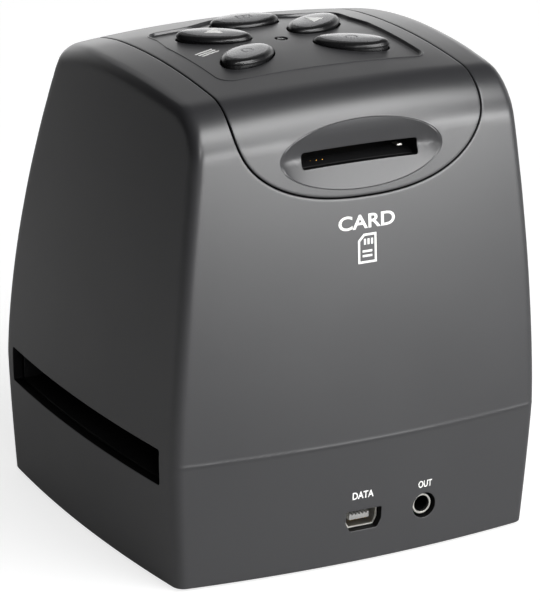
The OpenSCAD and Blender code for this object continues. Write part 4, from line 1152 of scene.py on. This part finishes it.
def key_cap(name, centre):
    """A key: a flange under the cover, a neck, a round flank, a satin top and a stem."""
    top_h, floor_h = key_levels(centre)
    under = floor_h + RECESS_DEPTH - WALL
    rows = [(under - FLANGE_LOW, -FLANGE_OUT), (under - FLANGE_HIGH, -FLANGE_OUT)]
    rows += [(under - FLANGE_HIGH, NECK_IN), (floor_h + 0.02, NECK_IN)]
    for t in np.radians(np.linspace(-75, 0, 5)[1:]):
        rows.append((floor_h + FLANK_FOOT + FLANK_FOOT * math.sin(t), NECK_IN * (1 - math.cos(t))))
    rise = KEY_RISE - FLANK_FOOT - FLANK_BELOW
    for t in np.radians(np.linspace(0, 80, 11)[1:]):
        rows.append((floor_h + FLANK_FOOT + rise * math.sin(t), FLANK_RUN * (1 - math.cos(t)) ** 0.9))
    height, inset = rows[-1]
    edge = len(rows)
    rows += [(height + up, inset + further) for up, further in TOP_ROUND] + [(top_h, inset + TOP_IN)]
    ovals = [key_ring(d, centre, h) for h, d in rows]
    rings = numbered(ovals)
    cap = [p for row in ovals for p in row], rings_joined(rings) + [tuple(rings[-1]), tuple(rings[0][::-1])]
    stem = [(0, STEM_H), (STEM_R - STEM_BEVEL, STEM_H), (STEM_R, STEM_H + STEM_BEVEL)]
    stem += [(STEM_R, under - FLANGE_LOW + STEM_BEVEL), (0, under - FLANGE_LOW + STEM_BEVEL)]
    stem = turned(stem, centre, steps=24)
    turns = [int(k >= edge) for k in range(len(rows) - 1) for _ in rings[0]] + [1, 0] + [0] * len(stem[1])
    paints = [polished_flank, satin_paint]
    node = "key_" + name
    piece("key_cap_" + name, together(cap, stem), "key_plastic", [node], paints, node, 30, turns)


for name, centre in KEYS.items():
    key_cap(name, centre)

# %% [markdown]
# ## Printed signs
# The signs are pad printed: a film of white ink, 0.03 mm thick. They could be painted by a texture, but real
# thin prisms keep a crisp edge at any distance. Each sign is drawn flat, as text or as plain outlines, and
# every point is then laid on the surface that carries it.

# %% Inks
INK_MM = 0.03
# Opaque white and slightly chalky; the grey one is thinned until it can just be read.
white_ink = moulded("white_pad_ink", "#e9e9e6", "#f4f4f2", 0.45, 0.55, 0.3, 0.004)
grey_ink = moulded("grey_pad_ink", "#7e7e80", "#8a8a8c", 0.5, 0.6, 0.3, 0.004)


# %% Drawing flat signs
def flat_shape(curve):
    """The filled outline of a flat curve as points and faces."""
    holder = bpy.data.objects.new("flat", curve)
    mesh = holder.to_mesh()
    points = np.array([v.co[:2] for v in mesh.vertices])
    faces = [tuple(f.vertices) for f in mesh.polygons]
    holder.to_mesh_clear()
    bpy.data.objects.remove(holder)
    return points, faces


def lettering(words, width, height):
    """Words that fill a box of this width and height in mm, centred."""
    curve = bpy.data.curves.new("words", "FONT")
    curve.body, curve.offset, curve.resolution_u = words, 0.018, 4
    points, faces = flat_shape(curve)
    low, high = points.min(0), points.max(0)
    return (points - (low + high) / 2) / (high - low) * (width, height), faces


def outlines(*loops):
    """Closed outlines in mm, filled where an odd number of them overlap."""
    curve = bpy.data.curves.new("outlines", "CURVE")
    curve.dimensions, curve.fill_mode = "2D", "BOTH"
    for loop in loops:
        spline = curve.splines.new("POLY")
        spline.points.add(len(loop) - 1)
        for point, (u, v) in zip(spline.points, loop):
            point.co = (u, v, 0, 1)
        spline.use_cyclic_u = True
    return flat_shape(curve)


def bar(u0, u1, v0, v1):
    """A plain rectangle as an outline."""
    return [(u0, v0), (u1, v0), (u1, v1), (u0, v1)]


def arc(radius, start, end, steps=28):
    """Points along an arc between two angles in degrees."""
    t = np.radians(np.linspace(start, end, steps))
    return [(radius * math.cos(a), radius * math.sin(a)) for a in t]


# %% Laying signs on the surface
def printed(name, shape, lay, ink=white_ink, body="casing"):
    """A film of ink: lay gives, for flat points and a height above the surface, their places."""
    flat, faces = shape
    ends = [end for face in faces for end in zip(face, face[1:] + face[:1])]
    n = len(flat)
    sides = [(a, a + n, b + n, b) for a, b in dict.fromkeys(ends) if (b, a) not in ends]
    if area(flat[list(faces[0])]) < 0:
        faces = [face[::-1] for face in faces]
        sides = [side[::-1] for side in sides]
    faces = faces + [tuple(i + n for i in face[::-1]) for face in faces] + sides
    points = np.concatenate([lay(flat, INK_MM), lay(flat, -INK_MM)])
    piece("sign_" + name, (points, faces), "white_plastic", (), ink, body, 20)


def on_rear_at(centre):
    """Lays a sign on the rear about a place (x, height), read from behind."""

    def lay(flat, above):
        p = on_rear(np.stack([centre[0] - flat[:, 0], centre[1] + flat[:, 1]], -1))
        return p + outward(p) * above

    return lay


def on_key(name, tilt=180.0):
    """Lays a sign on a key's top, turned by tilt from the key's long way."""
    centre = KEYS[name]

    def lay(flat, above):
        spot = turned_flat(flat[:, 0], flat[:, 1], centre, key_turn(centre) + tilt)
        return np.insert(spot, 2, key_levels(centre)[0] + above, 1)

    return lay


def beside_keys(flat, above):
    """Lays the list sign on the recess floor between two keys."""
    spot = turned_flat(flat[:, 0], flat[:, 1], LIST_SPOT, LIST_TURN)
    return on_top(spot) + np.array([0, 0, above - RECESS_DEPTH])


# %% Signs on the rear
def card_outline(w, t, cut):
    """A memory card's outline: a rectangle with one clipped corner."""
    return [(-w, -t), (w, -t), (w, t), (-w + cut, t), (-w, t - cut)]


card_contacts = [bar(u, u + 0.45, 0.75, 1.95) for u in (-0.75, 0.05, 0.85)]
card_lines = [bar(-1.1, 1.1, v, v + 0.45) for v in (-1.75, -0.8)]
card_mark = outlines(card_outline(2.1, 3.0, 1.3), card_outline(1.65, 2.55, 1.1), *card_contacts, *card_lines)
REAR_SIGNS = {
    "card_word": (lettering("CARD", 12.8, 2.9), (0.2, 71.7)),
    "card_mark": (card_mark, (0.2, 66.2)),
    "data_word": (lettering("DATA", 4.9, 1.55), (0.4, 14.3)),
    "out_word": (lettering("OUT", 3.3, 1.5), (-14.4, 13.9)),
}
for name, (shape, centre) in REAR_SIGNS.items():
    printed(name, shape, on_rear_at(centre))

# %% Signs on the keys and between them
LIST_SPOT, LIST_TURN = (17.6, 6.3), 200
triangle = outlines([(-1.9, -1.1), (1.9, -1.1), (0, 2.19)])
printed("up", triangle, on_key("up"), white_ink, "key_up")
printed("down", triangle, on_key("down", 0.0), white_ink, "key_down")
ring = outlines(arc(1.35, 0, 347), arc(1.0, 0, 347))
printed("menu", ring, on_key("menu"), grey_ink, "key_menu")
power = outlines(arc(1.35, -235, 55) + arc(1.0, 55, -235), bar(-0.18, 0.18, 0.3, 1.6))
printed("power", power, on_key("power"), grey_ink, "key_power")
frame_mark = outlines(bar(-1.7, 1.7, -1.1, 1.1), bar(-1.35, 1.35, -0.75, 0.75), bar(-0.2, 0.2, -0.4, 0.4))
printed("mode", frame_mark, on_key("mode"), grey_ink, "key_mode")
bars = outlines(*[bar(-2.4, 2.4, v, v + 0.36) for v in (-1.1, -0.18, 0.74)])
printed("list", bars, beside_keys)

# %% [markdown]
# ## Status light
# A light pipe carries the light of a small LED up through the cover. It is smoked, so it looks dark when the
# light is off, and its end is a low dome that stays below the recess floor.

# %% Status light
# Height of the pipe's foot, the two radii, how far its tip stays below the floor, and the dome's height.
PIPE_H, PIPE_R, FLANGE_R, TIP_BELOW, DOME = 93.9, 1.0, 1.9, 0.35, 0.32
DOME_ANGLES = np.radians([20, 40, 60, 75])
floor_h = on_top([LIGHT])[0][2] - RECESS_DEPTH
tip = floor_h - TIP_BELOW
pipe = [(0, PIPE_H), (PIPE_R - 0.1, PIPE_H), (PIPE_R, PIPE_H + 0.1), (PIPE_R, floor_h - 2.6)]
pipe += [(FLANGE_R - 0.1, floor_h - 2.6), (FLANGE_R, floor_h - 2.5), (FLANGE_R, floor_h - 1.9)]
pipe += [(PIPE_R, floor_h - 1.8), (PIPE_R, tip)]
pipe += [(PIPE_R * math.cos(t), tip + DOME * math.sin(t)) for t in DOME_ANGLES] + [(0, tip + DOME)]
piece("status_light_dome", turned(pipe, LIGHT, steps=40), "light_pipe", ["status_light_lens"])

# %% [markdown]
# ## Sockets at the rear
# The small five-pin socket is a strip of tinned steel rolled into a tube round a tongue of resin, which
# carries five contacts. The jack is a resin block with a bore and a thin plated ring at its mouth. Both sit
# behind the shell, so a dark gap shows round them.

# %% Shell of the small five-pin socket
USB_SUNK, USB_LONG, USB_SHEET, USB_ROLL = 1.45, 8.6, 0.36, 0.1
# Four legs reach down to the board: places across and behind the front, half width, length, heights.
LEG_X, LEG_BACK, LEG_HALF, LEG_LONG, LEG_H = 3.4, (7.0, 3.2), 0.3, 1.2, (6.72, 7.5)
usb_front = on_rear([(0, USB_H)])[0][1] - USB_SUNK
usb_flat = usb_outline(0.0, 0.2)


def grown(outline, by):
    """A flat closed outline moved outwards by this much."""
    along = np.roll(outline, -1, 0) - np.roll(outline, 1, 0)
    out = np.stack([along[:, 1], -along[:, 0]], -1)
    out /= np.linalg.norm(out, axis=1, keepdims=True)
    return outline + out * by * math.copysign(1, area(outline))


def usb_ring(by, behind):
    """The socket's outline this far behind its front, grown by this much."""
    return [(x, usb_front - behind, h) for x, h in grown(usb_flat, by)]


sheet = [(0, USB_LONG), (0, USB_ROLL), (-0.05, 0), (-USB_SHEET + 0.05, 0)]
sheet += [(-USB_SHEET, USB_ROLL), (-USB_SHEET, USB_LONG)]
legs = [
    block((x - LEG_HALF, x + LEG_HALF), (usb_front - back, usb_front - back + LEG_LONG), LEG_H, 0.05)
    for x in (-LEG_X, LEG_X)
    for back in LEG_BACK
]
shape = together(tube([usb_ring(by, behind) for by, behind in sheet]), *legs)
piece("usb_shell_rolled", shape, "plated_steel", ["usb_socket_shell"])

# %% Tongue of the small five-pin socket
# Paler than the block behind it, because it has no glass fibre.
tongue_grey = moulded("light_grey_resin", "#8e8e8c", "#9c9c9a", 0.4, 0.5, 0.3, 0.01)
# The rear wall lies between these places behind the front, and ribs and pins at these places across.
WALL_BACK, RIB_X, PIN_X = (8.5, 6.6), np.arange(-2.0, 2.1, 0.8), np.arange(-1.6, 1.7, 0.8)
rows = [usb_ring(-USB_SHEET, behind) for behind in WALL_BACK]
rings = numbered(rows)
wall = rows[0] + rows[1], rings_joined(rings) + [tuple(rings[0]), tuple(rings[1][::-1])]


def tongue_block(x, half, length, h, bevel):
    """A block on the tongue, from the wall behind it to this place behind the socket's front."""
    return block((x - half, x + half), (usb_front - length[0], usb_front - length[1]), h, bevel)


resin = [tongue_block(0, 2.3, (6.7, 0.5), (USB_H - 0.5, USB_H + 0.45), 0.1)]
resin += [tongue_block(x, 0.22, (6.5, 0.45), (USB_H + 0.4, USB_H + 0.75), 0.05) for x in RIB_X]
pins = [tongue_block(x, 0.17, (6.5, 0.6), (USB_H - 0.62, USB_H - 0.45), 0.03) for x in PIN_X]
turns = [k for k, group in enumerate(([wall], resin, pins)) for _, faces in group for _ in faces]
paints = [PAINTS["black_resin"], tongue_grey, PAINTS["gold_contacts"]]
piece("usb_tongue", together(wall, *resin, *pins), "black_resin", ["usb_socket_insert"], paints, turns=turns)

# %% Audio and video jack
JACK_BORE, JACK_RING_R, JACK_SUNK = 1.8, 2.2, 1.0
jack_front = on_rear([(JACK_X, JACK_H)])[0][1] - JACK_SUNK


def about_jack(profile, steps):
    """A profile of (radius, place behind the jack's front) turned about the jack's bore."""
    return turned([(r, jack_front - behind) for r, behind in profile], (JACK_X, JACK_H), "y", steps)


rim = [(JACK_BORE - 0.05, 0.3), (JACK_BORE - 0.05, 0.06), (JACK_BORE, 0.0), (JACK_RING_R - 0.08, 0.0)]
rim += [(JACK_RING_R, 0.08), (JACK_RING_R, 0.9), (JACK_BORE + 0.1, 0.9), (JACK_BORE + 0.1, 0.3), rim[0]]
piece("av_jack_rim", about_jack(rim, 64), "plated_steel", ["av_jack_ring"])
barrel = [(JACK_BORE, 0.95), (JACK_RING_R, 0.95), (JACK_RING_R, 2.7), (JACK_BORE + 0.3, 2.8)]
barrel += [(JACK_BORE + 0.3, 12.6), (0, 12.6), (0, 11.9), (JACK_BORE - 0.1, 11.9), (JACK_BORE, 11.8)]
barrel += barrel[:1]
# The walls round the barrel: the two sides, the floor and the top, across and in height.
JACK_WALLS = [((-3.2, -1.9), (6.75, 11.9)), ((1.9, 3.2), (6.75, 11.9))]
JACK_WALLS += [((-3.2, 3.2), (6.75, 7.2)), ((-3.2, 3.2), (11.0, 11.9))]
depth = (jack_front - 12.9, jack_front - 2.7)
walls = [block((JACK_X + a, JACK_X + b), depth, h, 0.25) for (a, b), h in JACK_WALLS]
# The block takes the near-black painted shade, for the shade inside the jack's hole.
piece("av_jack_block_painted_shade", together(about_jack(barrel, 48), *walls), "black_resin", ["av_jack_body"], shade_black_abs)

# %% [markdown]
# ## Mouth of the card slot
# Behind the slot a funnel leads the card into its socket. It is near-black painted shade, so the slot looks
# deep and dark. The lid of the socket has a stamped spring that holds the card, and a few contact tips sense
# that a card is in.

# %% Card funnel
MOUTH_W, MOUTH_T, FUNNEL_WALL, FUNNEL_BACK_Y = 13.1, 1.7, 0.3, 34.3
# The funnel narrows to this share of its mouth, round this height.
THROAT_W, THROAT_T, THROAT_H = 0.95, 0.71, 85.28
sides = (CARD_X - MOUTH_W, CARD_X + MOUTH_W, CARD_H - MOUTH_T, CARD_H + MOUTH_T)
inner_mouth = rectangle(*sides, 0.35, 0.5)
mouth = grown(inner_mouth, FUNNEL_WALL)
throat = (inner_mouth - (0, CARD_H)) * (THROAT_W, THROAT_T) + (0, THROAT_H)


def behind_cover(outline):
    """An outline of (x, height) laid just behind the wall of the dished cover."""
    p = on_rear(outline)
    return p + cover_sink(p) - np.array([0, WALL + 0.02, 0])


funnel = [behind_cover(mouth), behind_cover(inner_mouth)]
funnel += [np.insert(flat, 1, FUNNEL_BACK_Y, 1) for flat in (throat, mouth)]
# The funnel takes the near-black painted shade, for the shade inside the slot.
piece("card_funnel_painted_shade", tube(funnel), "inner_plastic", (), shade_black_abs, sharp=20)

# %% Lid spring and contact tips
LID_TOP, LID_T, LID_HALF, LID_SIDE = 86.6, 0.3, 14.6, 14.75
LID_BLOCKS = [
    # across, depth, height and bevel: the lid, its two sides, and the stamped spring with its bent end
    ((-LID_HALF, LID_HALF), (9, 34.1), (LID_TOP - LID_T, LID_TOP), 0.08),
    ((-LID_SIDE - 0.13, -LID_SIDE + 0.13), (9, 33), (83.35, LID_TOP), 0.05),
    ((LID_SIDE - 0.13, LID_SIDE + 0.13), (9, 33), (83.35, LID_TOP), 0.05),
    ((-10.9, -9.7), (33.2, 35.5), (84.25, 84.45), 0.06),
    ((-10.9, -9.7), (35.2, 35.5), (84.3, 84.65), 0.08),
]
piece("card_lid", together(*[block(*limits) for limits in LID_BLOCKS]), "plated_steel", ["card_socket_shell"])
# Nine contacts lie in a row, bent up at their ends, and four tips at the mouth sense a card.
CONTACT_W, CONTACT_PITCH, CONTACT_FROM, CONTACT_COUNT = 0.8, 2.5, -10.4, 9
TIP_W, TIPS = 0.3, (10.6, 9.7, 8.3, 6.9)
row = CONTACT_FROM + CONTACT_PITCH * np.arange(CONTACT_COUNT)
contacts = [block((x, x + CONTACT_W), (11, 20), (84.02, 84.25), 0.04) for x in row]
contacts += [block((x, x + CONTACT_W), (18.8, 20), (84.2, 84.6), 0.06) for x in row]
contacts += [block((x, x + TIP_W), (33.2, 35.2), (83.5, 83.65), 0.04) for x in TIPS]
piece("card_contact_fingers", together(*contacts), "gold_contacts", ["card_contacts"])

# %% [markdown]
# ## Screws
# The screws are self-tapping: a thin pan head with a cross, and a thread with a steep pitch. The thread is
# drawn as separate ridges, because from outside only the heads show. Each group is one piece.

# %% One screw
THREAD_PITCH, THREAD_DEPTH = 0.8, 0.16
# The cross in the head: its arms' half width and length as shares of the head's radius.
CROSS_HALF, CROSS_LONG = 0.17, 0.66


def screw(centre, low, high, r, head_r, head_t, up=True):
    """A screw between two heights, with its head at the lower end if it points up."""
    sign = 1 if up else -1
    start = low if up else high
    length = high - low
    root = r - THREAD_DEPTH
    head = [(0, 0.42), (0.22, 0.42), (0.5, 0.1), (0.62, 0.0), (0.85, 0.12), (1, 0.45), (1, 0.9), (0.95, 1)]
    profile = [(a * head_r, b * head_t) for a, b in head] + [(root, head_t)]
    for z in np.arange(head_t + 0.4, length - 1.0, THREAD_PITCH):
        profile += [(root, z), (r - 0.02, z + 0.25), (r - 0.02, z + 0.33), (root, z + 0.55)]
    profile += [(root, length - 0.9), (0, length)]
    points, faces = turned([(q, start + sign * z) for q, z in profile], centre, steps=32)
    points = np.array(points)
    level = (points[:, 2] - start) * sign
    off = np.abs(points[:, :2] - np.array(centre))
    arm = (off.min(1) < CROSS_HALF * head_r) & (off.max(1) < CROSS_LONG * head_r) & (level < 0.45 * head_t)
    points[arm, 2] = start + sign * 0.55 * head_t
    return points, faces


# %% Groups of screws
def corners_of(x, *ys):
    """Two or more places, mirrored to both sides."""
    return [(s * x, y) for y in ys for s in (1, -1)]


BOSSES = corners_of(34, 31, -31)
GUIDE_LEGS = corners_of(33, 18, -18)
BRACKET_SCREWS = corners_of(22.5, 12, -12)
COVER_POSTS = corners_of(24.5, 32) + corners_of(24, -8)
KEY_POSTS = corners_of(23.4, 5) + [(0, 23)]
IO_POSTS = [(11, 25.6), (-26, 25.6)]
SENSOR_SCREWS = corners_of(13, 11.5, -11.5)
MAIN_TOP, KEY_BOARD_TOP, SENSOR_H, BOARD_T = 83.3, 93.0, 66.0, 1.6
MAIN_UNDER, KEY_UNDER = MAIN_TOP - BOARD_T, KEY_BOARD_TOP - BOARD_T
SCREWS = {
    # group: places, lower and upper height, radius, head's radius and thickness, and False if it points down
    "base_screws": [(BOSSES, 0.1, 10, 1.0, 2.2, 0.9)],
    "guide_screws": [
        (GUIDE_LEGS, 0.1, 10, 1.0, 2.1, 0.9),
        (BRACKET_SCREWS, FILM_TOP + 0.05, FILM_TOP + 6.8, 1.0, 1.9, 0.8),
    ],
    "board_screws": [(COVER_POSTS, MAIN_UNDER - 1.1, MAIN_TOP + 7, 1.0, 2.0, 1.1)],
    "key_board_screws": [(KEY_POSTS, KEY_UNDER - 0.9, KEY_BOARD_TOP + 3, 0.8, 1.7, 0.9)],
    "io_screws": [(IO_POSTS, 3.4, 7.7, 0.8, 1.8, 1.0, False)],
    "sensor_screws": [(SENSOR_SCREWS, SENSOR_H - 2.6, SENSOR_H + 2, 0.8, 1.7, 0.8, False)],
}
for group, rows in SCREWS.items():
    made = [screw(place, *sizes) for places, *sizes in rows for place in places]
    piece(group + "_threaded", together(*made), "screw_steel", [group], sharp=40)

# %% [markdown]
# ## Screw posts
# Posts moulded with the shells take the screws. They are turned profiles with a bore, a small lead-in at its
# mouth, and a rib where a post stands near a wall.

# %% Screw posts
# Radii and depths of the bores for the larger and the smaller screws.
BIG_BORE, BIG_DEEP, SMALL_BORE, SMALL_DEEP = 1.02, 8, 0.82, 3.4
BOSS_LOW, BOSS_HIGH, BOSS_BORED, BOSS_R = 2.2, 14, 11, 3.0
RIB_START, RIB_END, RIB_LOW, RIB_HALF = 2, 41.2, 4, 0.7
POST_R, KEY_POST_R = 2.4, 1.9
# How far below the top the posts end; the rear two end lower, because the edge is rounded there.
POST_UNDER, REAR_POST_UNDER, KEY_POST_UNDER = 1.2, 2.9, 1.7


def post(centre, low, high, r, bore_r, bored_to):
    """A post between two heights, bored from its lower end."""
    profile = [(0, bored_to), (bore_r, bored_to), (bore_r, low + 0.3), (bore_r + 0.25, low), (r - 0.2, low)]
    profile += [(r, low + 0.2), (r, high), (0, high)]
    return turned(profile, centre, steps=36)


def cover_under(place, less):
    """The height a little below the top at a place, so that a post ends inside the wall."""
    return float(on_top([place])[0][2]) - less


ribs = []
for x, y in BOSSES:
    side = math.copysign(1, x)
    ends = sorted([x + RIB_START * side, RIB_END * side])
    ribs.append(block(ends, (y - RIB_HALF, y + RIB_HALF), (RIB_LOW, BOSS_HIGH), 0.1))
bosses = [post(p, BOSS_LOW, BOSS_HIGH, BOSS_R, BIG_BORE, BOSS_BORED) for p in BOSSES]
piece("housing_posts", together(*bosses, *ribs), "shell_plastic", sharp=35)
posts = []
for p in COVER_POSTS:
    high = cover_under(p, REAR_POST_UNDER if p[1] > REAR_HALF_Y else POST_UNDER)
    posts.append(post(p, MAIN_TOP, high, POST_R, BIG_BORE, MAIN_TOP + BIG_DEEP))
for p in KEY_POSTS:
    high = cover_under(p, KEY_POST_UNDER)
    posts.append(post(p, KEY_BOARD_TOP, high, KEY_POST_R, SMALL_BORE, KEY_BOARD_TOP + SMALL_DEEP))
piece("cover_posts", together(*posts), "shell_plastic", sharp=35)

# %% [markdown]
# ## Feet
# Four soft rubber discs with a rounded edge and a shallow dish, so that each grips by its rim.

# %% Feet
FOOT_R, DISH_H = 4.0, 0.68
foot = [(0, -DISH_H), (FOOT_R - 1.1, -DISH_H), (FOOT_R - 0.8, -FOOT_H), (FOOT_R - 0.25, -FOOT_H)]
foot += [(FOOT_R - 0.07, -FOOT_H + 0.07), (FOOT_R, -FOOT_H + 0.25), (FOOT_R, 0), (0, 0)]
feet = [turned(foot, p) for p in corners_of(31, 24.5, -24.5)]
piece("rubber_feet_dished", together(*feet), "foot_rubber", ["rubber_feet"], sharp=35)

# %% [markdown]
# ## Softened copies of plain parts
# A moulded or stamped part never has a perfectly sharp edge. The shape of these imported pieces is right, so
# each is copied, its flat faces are joined again, and a bevel modifier rounds its edges by a fraction of a
# millimetre. The bevel stays a modifier, so its width is easy to change.

# %% Softened copies
FLAT_WITHIN, SHARP_FROM, BEVEL_FROM = math.radians(1), math.radians(30), math.radians(40)
SOFT_EDGES = {
    # node: width of the bevel in mm
    "base_plate": 0.25,
    "film_guide_lower": 0.2,
    "film_guide_upper": 0.2,
    "lcd_module": 0.2,
    "light_box": 0.2,
    "lens_bracket": 0.3,
    "card_socket_base": 0.12,
    "key_switches": 0.12,
}
for name, width_mm in SOFT_EDGES.items():
    mesh = frame["nodes"][name].data.copy()
    shape = bmesh.new()
    shape.from_mesh(mesh)
    bmesh.ops.remove_doubles(shape, verts=shape.verts, dist=0.002 * MM)
    bmesh.ops.dissolve_limit(shape, angle_limit=FLAT_WITHIN, verts=shape.verts, edges=shape.edges)
    shape.to_mesh(mesh)
    shape.free()
    mesh.materials.clear()
    mesh.materials.append(PAINTS[slots[name]])
    mesh.shade_smooth()
    mesh.set_sharp_from_angle(angle=SHARP_FROM)
    made = placed(name + "_softened", mesh)
    bevel = made.modifiers.new("soft edges", "BEVEL")
    bevel.width, bevel.segments, bevel.limit_method = width_mm * MM, 2, "ANGLE"
    bevel.angle_limit, bevel.harden_normals = BEVEL_FROM, True
    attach(made, "casing")
    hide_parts(name)
print("softened:", len(SOFT_EDGES))
